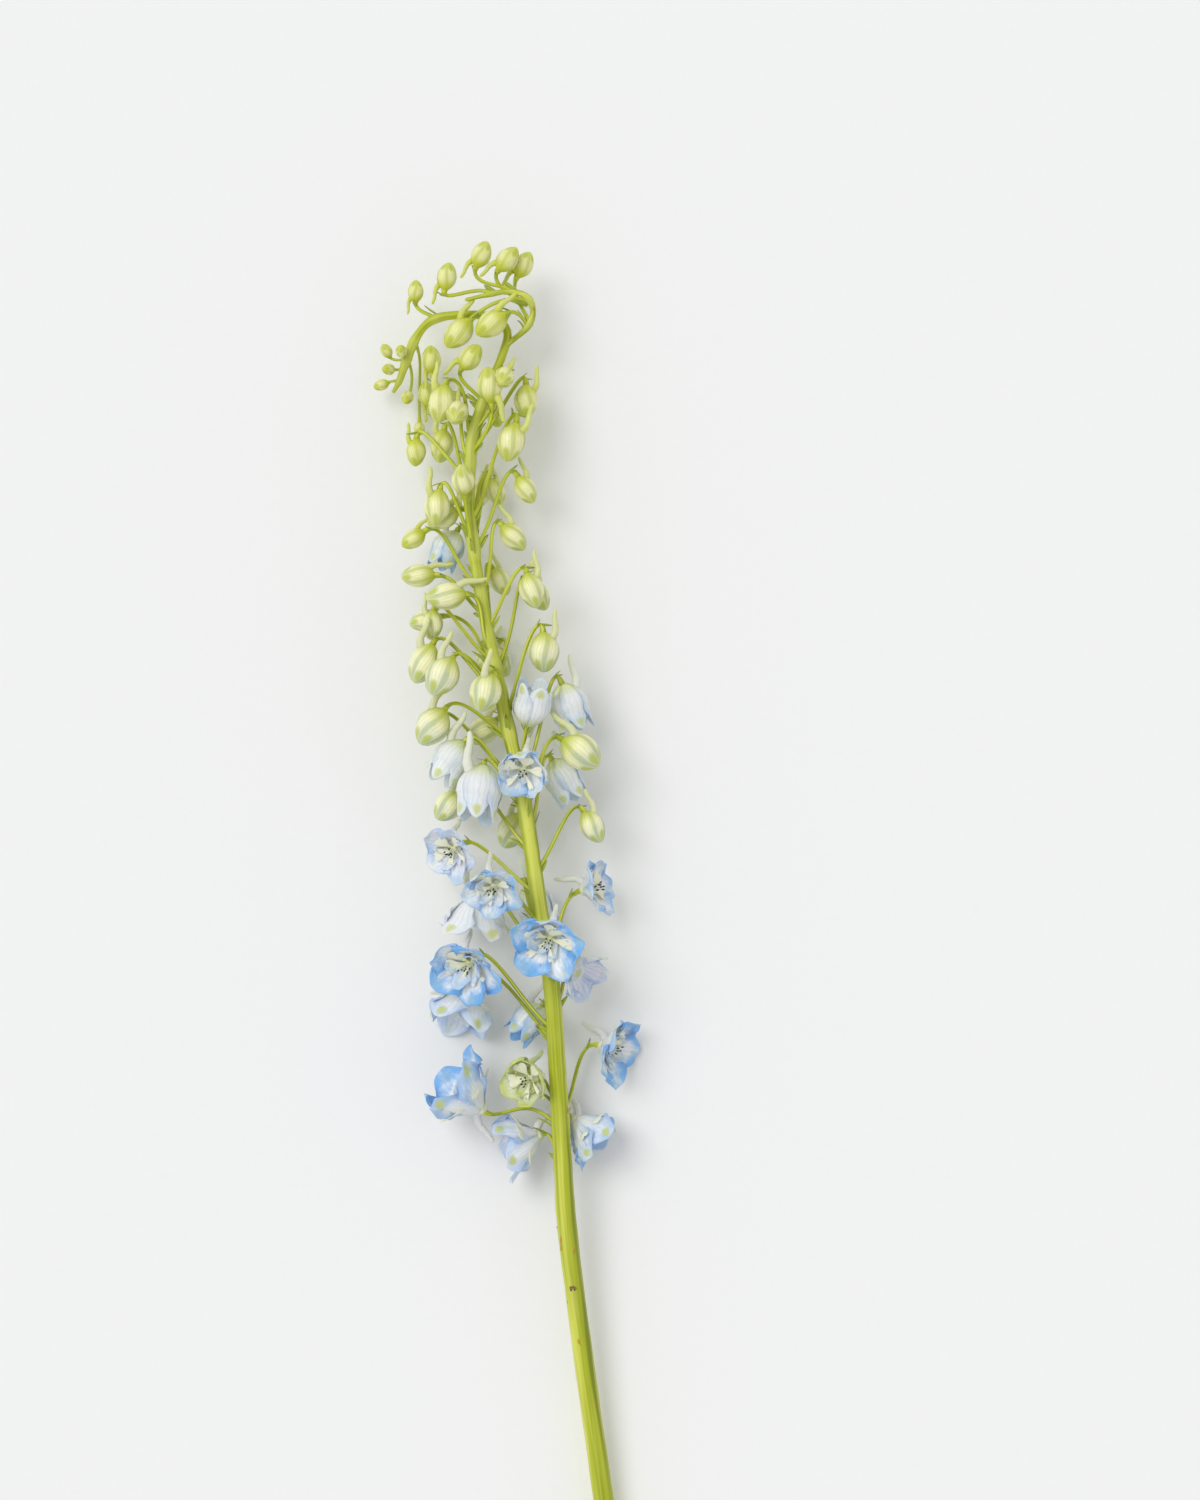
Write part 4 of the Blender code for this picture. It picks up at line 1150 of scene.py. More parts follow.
@dataclass
class ClosedBloom(Maker):
    """Bud whose five sepals overlap in seams that run from its foot to its tip.

    Args:
        rows: Rings from foot to tip.
        columns: Points across a sepal.
        step: Height of a sepal's edge over its neighbour, as a share of the radius.
        bulge: How far a sepal bulges, as a share of the radius.
        screw: Turn of the seams from foot to tip, in radians.
        nipple: Length of the pointed tip, as a share of the bud.
        overlap: How far a sepal's edge reaches over its neighbour, as a share of a sepal.
        slimness: Radius as a share of the solid's, to leave room for the bulges.
        fullness: Power of the half sine that its outline follows, and how much less it is near the tip.
    """

    rows: int = 26
    columns: int = 9
    step: float = 0.026
    bulge: float = 0.05
    screw: float = 0.7
    nipple: float = 0.012
    overlap: float = 0.02
    slimness: float = 0.94
    fullness: tuple[float, float] = (0.64, 0.10)

    def build(self) -> Stock:
        """Builds the bud in its own frame."""
        radius = self.slimness * self.bloom.form.plump * self.bloom.size
        self.body(self.bloom.size, radius, 0.0, Kind.MAIN)
        if has_spur(self.bloom):
            Spur(self.bloom, self.tone, rows=14, sides=10).build(self.stock)
        return self.stock

    def body(self, size: float, radius: float, lift: float, kind: Kind) -> None:
        """Adds the closed sepals.

        Args:
            size: Their length.
            radius: Their greatest radius.
            lift: Height of their foot over the base.
            kind: What the finish takes them for.
        """
        chance = self.chance
        share = ((1 - np.cos(np.linspace(0.12, np.pi - 0.10, self.rows))) / 2)[:, None]
        part = np.linspace(0, 1, self.columns)
        sectors = np.arange(SEPAL.count)
        local = np.tile(part, SEPAL.count)[None, :]
        start = chance.uniform(0, 2 * np.pi)
        screw = self.screw * chance.choice((-1, 1)) * chance.uniform(0.6, 1.2)
        sweep = 2 * np.pi / SEPAL.count * (1 + self.overlap * smooth(local, 0.6, 1.0))
        turn = start + np.repeat(sectors, self.columns)[None, :] * 2 * np.pi / SEPAL.count + local * sweep
        turn = turn + screw * (share - 0.5)
        power, less = self.fullness
        swell = np.sin(np.pi * share**0.95) ** (power - less * smooth(share, 0.5, 0.95))
        edge = smooth(share, 0.04, 0.25) * (1 - smooth(share, 0.86, 1.0))
        depth = self.step * (local - 0.5) * (0.25 + 0.75 * edge)
        depth = depth + self.bulge * np.sin(np.pi * local) * edge
        out = radius * swell * (1 + depth)
        tips = 0.5 + 0.5 * np.cos(2 * np.pi * (local - 0.5))
        height = size * (share + self.nipple * smooth(share, 0.8, 1.0) * tips) + lift
        rings = np.stack((out * np.cos(turn), out * np.sin(turn), height), axis=2)
        along = np.broadcast_to(share, out.shape)
        across = np.broadcast_to(2 * local - 1, out.shape)
        place = np.stack((along, across, np.ones(out.shape)), axis=2)
        ends = (np.array((0, 0, lift)), np.array((0, 0, lift + size * 1.005)))
        skin(self.stock, rings, ends, place, Trait(kind, chance.uniform(), self.tone))


@dataclass
class Bell(ClosedBloom):
    """Half-open bloom: five sepals that still hold together as a bell, parted at the mouth.

    Args:
        thickness: Thickness of a sepal, in millimetres.
        cover: Half of a sepal's sweep round the axis, in radians.
        mouth: Radius at the mouth as a share of the greatest radius.
        sepal_grid: Points along and across a sepal.
        point: Length of a sepal's pointed tip, as a share of the bell.
        rounding: How much shorter a sepal is at its margin than in its middle, and how suddenly.
        narrowing: How much narrower it is at its tip, as a share.
        heart: Length and radius of the closed body inside, as shares of the bell's, and its lift.
    """

    thickness: float = 0.34
    cover: float = 0.86
    mouth: float = 0.9
    sepal_grid: tuple[int, int] = (22, 15)
    point: float = 0.015
    rounding: tuple[float, float] = (0.20, 2.4)
    narrowing: float = 0.36
    heart: tuple[float, float, float] = (0.70, 0.66, 0.08)

    def build(self) -> Stock:
        """Builds the bell in its own frame."""
        chance = self.chance
        size, radius = self.bloom.size, self.bloom.form.plump * self.bloom.size
        long, wide, lift = self.heart
        self.body(long * size, wide * radius, lift * size, Kind.INNER)
        for index in range(SEPAL.count):
            turn = math.radians(90 + 360 * index / SEPAL.count + chance.uniform(-5, 5))
            self.sepal(size, radius, turn)
        Spur(self.bloom, self.tone).build(self.stock)
        return self.stock

    def sepal(self, size: float, radius: float, turn: float) -> None:
        """Adds one sepal that wraps the bell.

        Args:
            size: Length of the bell.
            radius: Its greatest radius.
            turn: The sepal's place round the axis.
        """
        chance = self.chance
        along, across = blade_grid(*self.sepal_grid, crowded=True)
        point = self.point * smooth(along, 0.8, 1.0) * (1 - smooth(np.abs(across), 0.0, 0.4))
        shorter, power = self.rounding
        edge = shorter * smooth(along, 0.4, 1.0) * np.abs(across) ** power
        share = (0.02 + 0.98 * along) * (1 - edge) + point
        closed = np.sin(np.pi * np.clip(share, 0.0, 0.62) ** 0.9) ** 0.75
        open_share = smooth(share, 0.5, 1.0)
        flare = chance.uniform(-0.10, 0.14)
        swell = closed * (1 - open_share) + (self.mouth + flare) * open_share
        narrow = 1 - self.narrowing * smooth(along, 0.7, 1.0) ** 1.6
        angle = across * self.cover * narrow
        out = radius * (swell + 0.05 * across * edge_share(along)) + 0.25
        wave = np.sin(2 * np.pi * 1.3 * along + chance.uniform(0, 6))
        out = out + 0.35 * np.abs(across) ** 2.5 * along**2 * wave
        height = size * share * chance.uniform(0.96, 1.03)
        x, y = out * np.cos(turn + angle), out * np.sin(turn + angle)
        trait = Trait(Kind.MAIN, chance.uniform(), self.tone)
        blade(self.stock, np.stack((x, y, height), axis=2), self.thickness, along, across, trait)


def edge_share(along: Array) -> Array:
    """How far overlapping sepals stand apart along their length."""
    return smooth(along, 0.05, 0.3)


@dataclass
class Eye(Maker):
    """Cream inner petals with split tips round a boss of dark stamens.

    Args:
        petals: Cream petals.
        stamens: Stamens.
        base: Height of its foot over the floret's base, in millimetres.
        spread: Its radius as a share of a sepal.
        height: Its height as a share of a sepal.
        petal_grid: Points along and across a cream petal.
        thickness: Thickness of a cream petal, in millimetres.
        split: Depth and width of the split in its tip, as shares of the petal.
        filament: Radius of a stamen's stalk, in millimetres.
        anther: Radii along a stamen's head, in millimetres.
        anther_reach: Where the head starts and ends along its own way, in millimetres.
    """

    petals: int = 5
    stamens: int = 9
    base: float = 4.4
    spread: float = 0.60
    height: float = 0.40
    petal_grid: tuple[int, int] = (12, 9)
    thickness: float = 0.3
    split: tuple[float, float] = (0.26, 0.28)
    filament: float = 0.16
    anther: tuple[float, ...] = (0.16, 0.29, 0.34, 0.27, 0.12)
    anther_reach: tuple[float, float] = (-0.50, 0.70)

    def build(self) -> Stock:
        """Builds the eye in the floret's own frame."""
        chance = self.chance
        length = SEPAL.length(self.bloom)
        for index in range(self.petals):
            turn = math.radians(360 * index / self.petals + chance.uniform(-9, 9))
            self.petal(length, turn)
        for index in range(self.stamens):
            self.stamen(length, index)
        path = np.linspace((0, 0, self.base - 0.6), (0, 0, self.base + 0.22 * self.height * length), 5)
        tube(self.stock, path, np.array((1.3, 1.5, 1.3, 0.9, 0.4)), 10, Trait(Kind.STALK, 0.5, self.tone))
        return self.stock

    def petal(self, length: float, turn: float) -> None:
        """Adds one cream petal with a split, outward-turned tip.

        Args:
            length: Length of the floret's sepals.
            turn: Its place round the axis.
        """
        chance = self.chance
        along, across = blade_grid(*self.petal_grid)
        deep, wide = self.split
        split = deep * np.exp(-((across / wide) ** 2)) * smooth(along, 0.55, 1.0)
        share = along * (1 - 0.12 * across**2) - split
        bend = chance.uniform(0.85, 1.1)
        out = 1.1 + (self.spread * length * bend - 1.1) * np.sin(share * 1.45) ** 1.1
        up = self.base + self.height * length * (1.15 * share - 0.55 * share**2)
        upper = 0.75 + 0.45 * math.sin(turn)
        half = (0.6 + 2.6 * smooth(along, 0.1, 0.75)) * length / 16 * upper
        side = across * half
        fold = 0.25 * side**2 / half
        outward = out - fold
        x = outward * math.cos(turn) - side * math.sin(turn)
        y = outward * math.sin(turn) + side * math.cos(turn)
        trait = Trait(Kind.MAIN, chance.uniform(), self.tone)
        blade(self.stock, np.stack((x, y, up), axis=2), self.thickness, along, across, trait)

    def stamen(self, length: float, index: int) -> None:
        """Adds one stamen: a pale filament with a dark anther.

        Args:
            length: Length of the floret's sepals.
            index: Its number, which sets its turn.
        """
        chance = self.chance
        turn = index * EVEN_TURN
        out = 0.4 + 1.25 * math.sqrt(index / self.stamens) * length / 15
        way = np.array((math.cos(turn), math.sin(turn), 0.0))
        up = self.height * length * chance.uniform(0.40, 0.98)
        foot = way * 0.35 * out + np.array((0, 0, self.base))
        knee = way * out * 0.9 + np.array((0, 0, self.base + 0.6 * up))
        head = way * out * 1.25 + np.array((0, 0, self.base + up))
        share = np.linspace(0, 1, 6)[:, None]
        path = (1 - share) ** 2 * foot + 2 * share * (1 - share) * knee + share**2 * head
        trait = Trait(Kind.STALK, chance.uniform(), self.tone)
        tube(self.stock, path, np.full(6, self.filament), 5, trait)
        lean = unit(head - knee + np.array((chance.uniform(-1, 1), chance.uniform(-1, 1), 0.0)) * 0.8)
        radii = np.array(self.anther)
        pod = head + lean * np.linspace(*self.anther_reach, len(radii))[:, None]
        tube(self.stock, pod, radii, 7, Trait(Kind.INNER, chance.uniform(), self.tone))


@dataclass
class MainStem:
    """The ribbed main axis with its side branch, and scars where leaves were stripped.

    Args:
        line: The stem's fine line.
        branch: The side branch's fine line.
        feet: Where the pedicels start.
        sides: Points round the stem.
        ribs: Ribs round it.
        rib: Height of a rib as a share of the radius.
        wander: How far the ribs swing round the stem, in radians, and over what length.
        unevenness: Height as a share of the radius, pace along and lobes round of each slight bulge.
        swelling: Height and reach of the swelling at a pedicel's foot, in millimetres.
        scars: Distance along, turn round in degrees and size of each leaf scar.
    """

    line: Line
    branch: Line
    feet: Array
    sides: int = 48
    ribs: int = 10
    rib: float = 0.014
    wander: tuple[float, float] = (0.35, 47.0)
    unevenness: tuple = ((0.012, 9.0, 2), (0.01, 3.7, -3))
    swelling: tuple[float, float] = (0.45, 3.4)
    scars: tuple = ((128.0, 60.0, 1.0), (186.5, 262.0, 1.15), (212.0, 150.0, 1.0))

    def __post_init__(self) -> None:
        """Starts with an empty store."""
        self.stock = Stock()

    def build(self) -> Stock:
        """Builds the stem in the drawing frame."""
        self.shaft(self.line, self.sides, self.rib)
        self.shaft(self.branch, 16, 0.0)
        for distance, turn, size in self.scars:
            self.scar(distance, math.radians(turn), size)
        return self.stock

    def shaft(self, line: Line, sides: int, rib: float) -> None:
        """Adds one ribbed shaft.

        Args:
            line: Its line.
            sides: Points round it.
            rib: Height of its ribs as a share of its radius.
        """
        path, radii = line.points[:, :3], line.points[:, 3] / 2
        turns, lengths = turns_round(sides), line.lengths[:, None]
        wander = self.wander[0] * np.sin(lengths / self.wander[1])
        profile = 1 + rib * (np.abs(np.sin(self.ribs / 2 * (turns + wander))) * 2 - 1)
        for bulge, pace, lobes in self.unevenness:
            profile = profile + bulge * np.sin(lengths / pace + lobes * turns)
        ways, first, second = carried_sides(path)
        round_way = ways_out(turns, first, second)
        rings = path[:, None] + (radii[:, None] * profile)[:, :, None] * round_way
        swelling, (height, reach) = np.zeros(rings.shape[:2]), self.swelling
        for foot in self.feet:
            near = np.flatnonzero(np.linalg.norm(path - foot, axis=1) < 9)
            if len(near):
                space = np.linalg.norm(rings[near] - foot[None, None], axis=2)
                swelling[near] += height * np.exp(-((space / reach) ** 2))
        swelling = swelling + self.scar_streaks(rings)
        rings = rings + swelling[:, :, None] * round_way
        along = np.broadcast_to(lengths / line.lengths[-1], swelling.shape)
        ends = (path[0] + ways[0] * 0.25 * radii[0], path[-1] + ways[-1] * radii[-1])
        trait = Trait(Kind.MAIN, 0.5, Tone(0.0))
        skin(self.stock, rings, ends, round_place(along, turns), trait, np.clip(swelling, 0, 1))

    def scar_place(self, distance: float, turn: float) -> tuple[Array, Array]:
        """Where a scar sits on the stem's surface, and the way that it faces.

        Args:
            distance: Its place along the stem.
            turn: Its place round the stem.

        Returns:
            The place and the way out of the stem.
        """
        spot, way = self.line.at(distance), self.line.direction(distance)
        start = unit(np.cross(way, (0.0, 0.0, 1.0)))
        side = start * math.cos(turn) + np.cross(way, start) * math.sin(turn)
        return spot[:3] + side * (spot[3] / 2), side

    def scar_streaks(self, rings: Array) -> Array:
        """Height, at each point of the rings, of the pale streaks that run down from the scars."""
        raised = np.zeros(rings.shape[:2])
        for distance, turn, size in self.scars:
            for below in range(0, 22, 2):
                place, _ = self.scar_place(distance - below, math.radians(turn + 0.4 * below))
                space = np.linalg.norm(rings - place, axis=2)
                streak = 0.5 * (1 - below / 26) * np.exp(-((space / (1.4 * size)) ** 2))
                raised = np.maximum(raised, streak)
        return raised

    def scar(self, distance: float, turn: float, size: float) -> None:
        """Adds one low, corky knob that a stripped leaf left.

        Args:
            distance: Its place along the stem.
            turn: Its place round the stem.
            size: Its size.
        """
        middle, side = self.scar_place(distance, turn)
        way = self.line.direction(distance)
        beside = np.cross(way, side)
        arc = np.linspace(-2.6, 2.6, 25)[:, None]
        path = middle + beside * np.sin(arc) * 0.85 * size + way * np.cos(arc) * 0.75 * size + side * 0.1
        radii = 0.42 * size * (1 + 0.25 * np.sin(arc[:, 0] * 5.0))
        tube(self.stock, path, radii, 8, Trait(Kind.INNER, 0.5, Tone(0.0)))
        crumbs = middle + side * np.linspace(-0.5, 0.35, 5)[:, None] * size
        trait = Trait(Kind.INNER, 0.9, Tone(0.0))
        tube(self.stock, crumbs, np.array((0.7, 0.72, 0.66, 0.5, 0.3)) * size, 9, trait)


@dataclass
class Stalks:
    """Arching pedicels from the stem to every bloom.

    Args:
        raceme: The placed blooms.
        steps: Points along a pedicel.
        sides: Points round it.
        thickness: Its thickness, in millimetres.
        seat: How far it runs into its bloom, in millimetres.
        young: Thickness of the youngest ones, as a share.
        swelling: How much thicker it is at its foot and at its top, as shares.
        green_reach: Between which heights up the spike pedicels turn to young green.
    """

    raceme: Raceme
    steps: int = 22
    sides: int = 9
    thickness: float = 1.6
    seat: float = 0.5
    young: float = 0.75
    swelling: tuple[float, float] = (0.45, 0.75)
    green_reach: tuple[float, float] = (430.0, 560.0)

    def paths(self) -> Array:
        """Points along every pedicel."""
        return self.raceme.pedicels(np.linspace(0, 1, self.steps), -self.seat).swapaxes(0, 1)

    def build(self) -> Stock:
        """Builds all pedicels in the drawing frame."""
        stock = Stock()
        share = np.linspace(0, 1, self.steps)
        foot, top = self.swelling
        for index, (bloom, path) in enumerate(zip(self.raceme.blooms, self.paths())):
            young = 1.0 if has_spur(bloom) else self.young
            radii = np.full(self.steps, self.thickness / 2 * young)
            radii = radii * (1 + foot * (1 - smooth(share, 0.0, 0.16)) + top * smooth(share, 0.86, 1.0))
            high = smooth(np.array(bloom.y), *self.green_reach)
            trait = Trait(Kind.STALK, (index * 0.618) % 1.0, Tone(0.0, 0.0, float(high)))
            tube(stock, path, radii, self.sides, trait)
        return stock


@dataclass
class Bracts:
    """Narrow bracts at the pedicels' feet and pairs of bracteoles behind the blooms.

    Args:
        raceme: The placed blooms.
        stalks: The pedicels.
        length: Length of a bract, in millimetres.
        width: Width of a bract, in millimetres.
        bracteole: Width of a bracteole, in millimetres.
        thickness: Thickness of both, in millimetres.
        grid: Points along and across one.
        seed: Seed of their small differences.
    """

    raceme: Raceme
    stalks: Stalks
    length: float = 12.0
    width: float = 2.1
    bracteole: float = 1.3
    thickness: float = 0.3
    grid: tuple[int, int] = (10, 5)
    seed: int = 5

    def build(self) -> Stock:
        """Builds all bracts and bracteoles in the drawing frame."""
        stock, chance = Stock(), np.random.default_rng(self.seed)
        for index, (bloom, path) in enumerate(zip(self.raceme.blooms, self.stalks.paths())):
            if not has_spur(bloom):
                continue
            up_stem = self.raceme.up_stem[index]
            away = unit(path[3] - path[0])
            length = self.length * chance.uniform(0.7, 1.25) * (1.0 if bloom.y < 480 else 0.7)
            start = path[0] + unit(away - up_stem * away.dot(up_stem)) * 1.2 - up_stem * 1.2
            self.leaf(stock, start, unit(away + 0.3 * up_stem), -up_stem, length, self.width, chance)
            side = unit(np.cross(self.raceme.axes[index], path[-3] - path[-6] + np.array((0, 0, 0.3))))
            for share, way in ((16, 1), (17, -1)):
                heading = unit(unit(path[share + 1] - path[share]) + 0.55 * way * side)
                length = chance.uniform(4.5, 7.5) * (1.0 if bloom.form.plump == 0 else 0.8)
                self.leaf(stock, path[share], heading, side * way, length, self.bracteole, chance)
        return stock

    def leaf(
        self,
        stock: Stock,
        start: Array,
        heading: Array,
        out: Array,
        length: float,
        width: float,
        chance: np.random.Generator,
    ) -> None:
        """Adds one narrow, folded, curved blade.

        Args:
            stock: Where it goes.
            start: Its foot.
            heading: The way it leaves.
            out: The way it curves towards.
            length: Its length.
            width: Its width.
            chance: Source of its small differences.
        """
        along, across = blade_grid(*self.grid)
        curve = out * chance.uniform(0.1, 0.45)
        spine = start + length * (along[:, :1] * heading + along[:, :1] ** 2 * curve)
        way = np.gradient(spine, axis=0)
        way /= np.linalg.norm(way, axis=1)[:, None]
        level = np.cross(way, out + 0.01)
        level /= np.linalg.norm(level, axis=1)[:, None]
        upright = np.cross(level, way)
        turn = chance.uniform(0.3, 1.3) * chance.choice((-1, 1))
        side = math.cos(turn) * level + math.sin(turn) * upright
        raised = np.cross(side, way)
        half = width / 2 * (np.sin(np.pi * (0.18 + 0.80 * along)) ** 0.9)
        face = spine[:, None] + side[:, None] * (across * half)[:, :, None]
        face = face + raised[:, None] * (0.5 * np.abs(across) * half)[:, :, None]
        trait = Trait(Kind.MAIN, chance.uniform(), Tone(0.0))
        blade(stock, face, self.thickness, along, across, trait)


def linear(value: float) -> float:
    """Linear strength of one part of a screen colour, from 0 to 1."""
    return value / 12.92 if value <= 0.04045 else ((value + 0.055) / 1.055) ** 2.4


def shade(code: str) -> tuple[float, float, float, float]:
    """Linear colour of a six-figure screen colour."""
    red, green, blue = (linear(int(code[start : start + 2], 16) / 255) for start in (0, 2, 4))
    return red, green, blue, 1.0


class Graph:
    """Nodes of one material or group, wired in a few words."""

    def __init__(self, tree: bpy.types.NodeTree) -> None:
        """Works on a node tree."""
        self.tree = tree

    def node(self, kind: str, **settings: Any) -> bpy.types.Node:
        """Adds a node with its settings."""
        made = self.tree.nodes.new(kind)
        for name, value in settings.items():
            setattr(made, name, value)
        return made

    def feed(self, socket: bpy.types.NodeSocket, value: Any) -> None:
        """Links a socket to another, or sets its value."""
        if isinstance(value, bpy.types.NodeSocket):
            self.tree.links.new(value, socket)
        else:
            socket.default_value = value

    def math(self, way: str, first: Any, second: Any = 0.0, third: Any = 0.0, clamp: bool = False) -> Any:
        """Result of a sum of up to three values."""
        made = self.node("ShaderNodeMath", operation=way, use_clamp=clamp)
        for socket, value in zip(made.inputs, (first, second, third)):
            self.feed(socket, value)
        return made.outputs[0]

    def times(self, first: Any, second: Any, clamp: bool = False) -> Any:
        """Product of two values."""
        return self.math("MULTIPLY", first, second, clamp=clamp)

    def times_plus(self, value: Any, factor: Any, rest: Any) -> Any:
        """Product of two values, and a third added to it."""
        return self.math("MULTIPLY_ADD", value, factor, rest)

    def squared(self, value: Any, size: float = 1.0) -> Any:
        """Square of a value, or of its share of a size."""
        share = value if size == 1.0 else self.math("DIVIDE", value, size)
        return self.math("POWER", share, 2.0)

    def rise(self, value: Any, low: Any, high: Any) -> Any:
        """Rises softly from 0 at low to 1 at high."""
        made = self.node("ShaderNodeMapRange", interpolation_type="SMOOTHSTEP")
        for name, given in (("Value", value), ("From Min", low), ("From Max", high)):
            self.feed(made.inputs[name], given)
        return made.outputs["Result"]

    def mix(self, share: Any, first: Any, second: Any) -> Any:
        """Mixes two colours, each a socket or a screen colour."""
        made = self.node("ShaderNodeMix", data_type="RGBA")
        self.feed(made.inputs["Factor"], share)
        self.feed(made.inputs[6], shade(first) if isinstance(first, str) else first)
        self.feed(made.inputs[7], shade(second) if isinstance(second, str) else second)
        return made.outputs[2]

    def tint(self, colour: Any, code: str, mask: Any, strength: float = 1.0) -> Any:
        """A colour with a screen colour laid over it where a mask shows."""
        share = mask if strength == 1.0 else self.times(mask, strength)
        return self.mix(share, colour, code)

    def is_kind(self, value: Any, kind: Kind) -> Any:
        """1 where the value is that of a kind of surface, otherwise 0."""
        return self.math("COMPARE", value, kind.value, 0.2)

    def vector(self, *parts: Any) -> Any:
        """A vector of three values."""
        made = self.node("ShaderNodeCombineXYZ")
        for socket, value in zip(made.inputs, parts):
            self.feed(socket, value)
        return made.outputs[0]

    def noise(self, vector: Any, scale: float, detail: float = 2.0) -> Any:
        """Soft noise of 0 to 1."""
        made = self.node("ShaderNodeTexNoise")
        self.feed(made.inputs["Vector"], vector)
        made.inputs["Scale"].default_value = scale
        made.inputs["Detail"].default_value = detail
        return made.outputs[0]

    def stretched(self, vector: Any, *scale: float) -> Any:
        """A vector stretched evenly, or along each of its axes."""
        made = self.node("ShaderNodeVectorMath", operation="MULTIPLY")
        self.feed(made.inputs[0], vector)
        made.inputs[1].default_value = scale * 3 if len(scale) == 1 else scale
        return made.outputs[0]

    def parts(self, title: str) -> Values:
        """The three parts of a surface value."""
        read = self.node("ShaderNodeAttribute", attribute_name=title)
        made = self.node("ShaderNodeSeparateXYZ")
        self.feed(made.inputs[0], read.outputs["Vector"])
        return made.outputs[0], made.outputs[1], made.outputs[2]

    def group(self, tree: bpy.types.NodeTree, **values: Any) -> Any:
        """Places a shared effect with its values and gives its mask."""
        made = self.node("ShaderNodeGroup", node_tree=tree)
        for name, value in values.items():
            self.feed(made.inputs[name], value)
        return made.outputs["Mask"]


class Effects:
    """Surface effects that more than one finish uses, each built once as a node group."""

    def __init__(self) -> None:
        """Builds the groups."""
        self.veins = self.build_veins()
        self.patches = self.build_patches()

    @staticmethod
    def new_group(name: str, inputs: dict[str, str]) -> tuple[Graph, Any, Any]:
        """Starts a group.

        Args:
            name: Its name.
            inputs: The name and kind of each input.

        Returns:
            Its graph, its inputs and its outputs.
        """
        tree = bpy.data.node_groups.new(name, "ShaderNodeTree")
        for title, kind in inputs.items():
            tree.interface.new_socket(title, in_out="INPUT", socket_type=kind)
        tree.interface.new_socket("Mask", in_out="OUTPUT", socket_type="NodeSocketFloat")
        graph = Graph(tree)
        return graph, graph.node("NodeGroupInput"), graph.node("NodeGroupOutput")

    def build_veins(self) -> bpy.types.NodeTree:
        """Fine lines that run from a petal's foot to its tip and wander a little."""
        kinds = dict.fromkeys(("Along", "Across", "Chance", "Count", "Wander"), "NodeSocketFloat")
        graph, given, result = self.new_group("petal_veins", kinds)
        along, across, chance, count, wander = given.outputs[:5]
        spot = graph.vector(graph.times(across, 2.2), graph.times(along, 2.6), graph.times(chance, 37.0))
        drift = graph.math("SUBTRACT", graph.noise(spot, 2.0, 3.0), 0.5)
        drift = graph.times(drift, wander)
        lines = graph.math("SINE", graph.times(graph.math("ADD", across, drift), count))
        sharp = graph.rise(graph.math("ABSOLUTE", lines), 0.70, 0.0)
        fade = graph.times(graph.rise(along, 0.0, 0.15), graph.rise(along, 1.02, 0.75))
        graph.feed(result.inputs["Mask"], graph.times(sharp, fade))
        return graph.tree

    def build_patches(self) -> bpy.types.NodeTree:
        """Soft patches, set by the place in space."""
        kinds = {"Place": "NodeSocketVector", "Low": "NodeSocketFloat", "High": "NodeSocketFloat"}
        graph, given, result = self.new_group("soft_patches", kinds)
        cloud = graph.noise(given.outputs["Place"], 1.0, 3.0)
        graph.feed(result.inputs["Mask"], graph.rise(cloud, given.outputs["Low"], given.outputs["High"]))
        return graph.tree


@dataclass(frozen=True)
class Finish:
    """What all finishes of the spike share.

    Args:
        name: The material's name.
        roughness: Its mean roughness.
        glow: How much light goes into the surface and comes out beside.
        relief: Strength of its fine relief.
    """

    name: str
    roughness: float = 0.5
    glow: float = 0.25
    relief: float = 0.3

    def material(self, effects: Effects) -> bpy.types.Material:
        """Makes the material.

        Args:
            effects: The shared effects.

        Returns:
            The finished material.
        """
        made = bpy.data.materials.new(self.name)
        made.use_nodes = True
        graph = Graph(made.node_tree)
        shader = made.node_tree.nodes["Principled BSDF"]
        place = graph.node("ShaderNodeTexCoord").outputs["Object"]
        colour, rough, height = self.surface(graph, effects, place)
        bump = graph.node("ShaderNodeBump")
        bump.inputs["Strength"].default_value = self.relief
        bump.inputs["Distance"].default_value = 0.0004
        graph.feed(bump.inputs["Height"], height)
        graph.feed(shader.inputs["Base Color"], colour)
        graph.feed(shader.inputs["Roughness"], rough)
        graph.feed(shader.inputs["Normal"], bump.outputs["Normal"])
        shader.inputs["Metallic"].default_value = 0.0
        shader.inputs["Subsurface Weight"].default_value = self.glow
        shader.inputs["Subsurface Radius"].default_value = (1.0, 0.9, 0.8)
        shader.inputs["Subsurface Scale"].default_value = 0.0016
        shader.inputs["Sheen Weight"].default_value = 0.03
        shader.inputs["Specular IOR Level"].default_value = 0.38
        return made

    def surface(self, graph: Graph, effects: Effects, place: Any) -> Values:
        """Colour, roughness and height of the surface, wired in the graph."""
        raise NotImplementedError


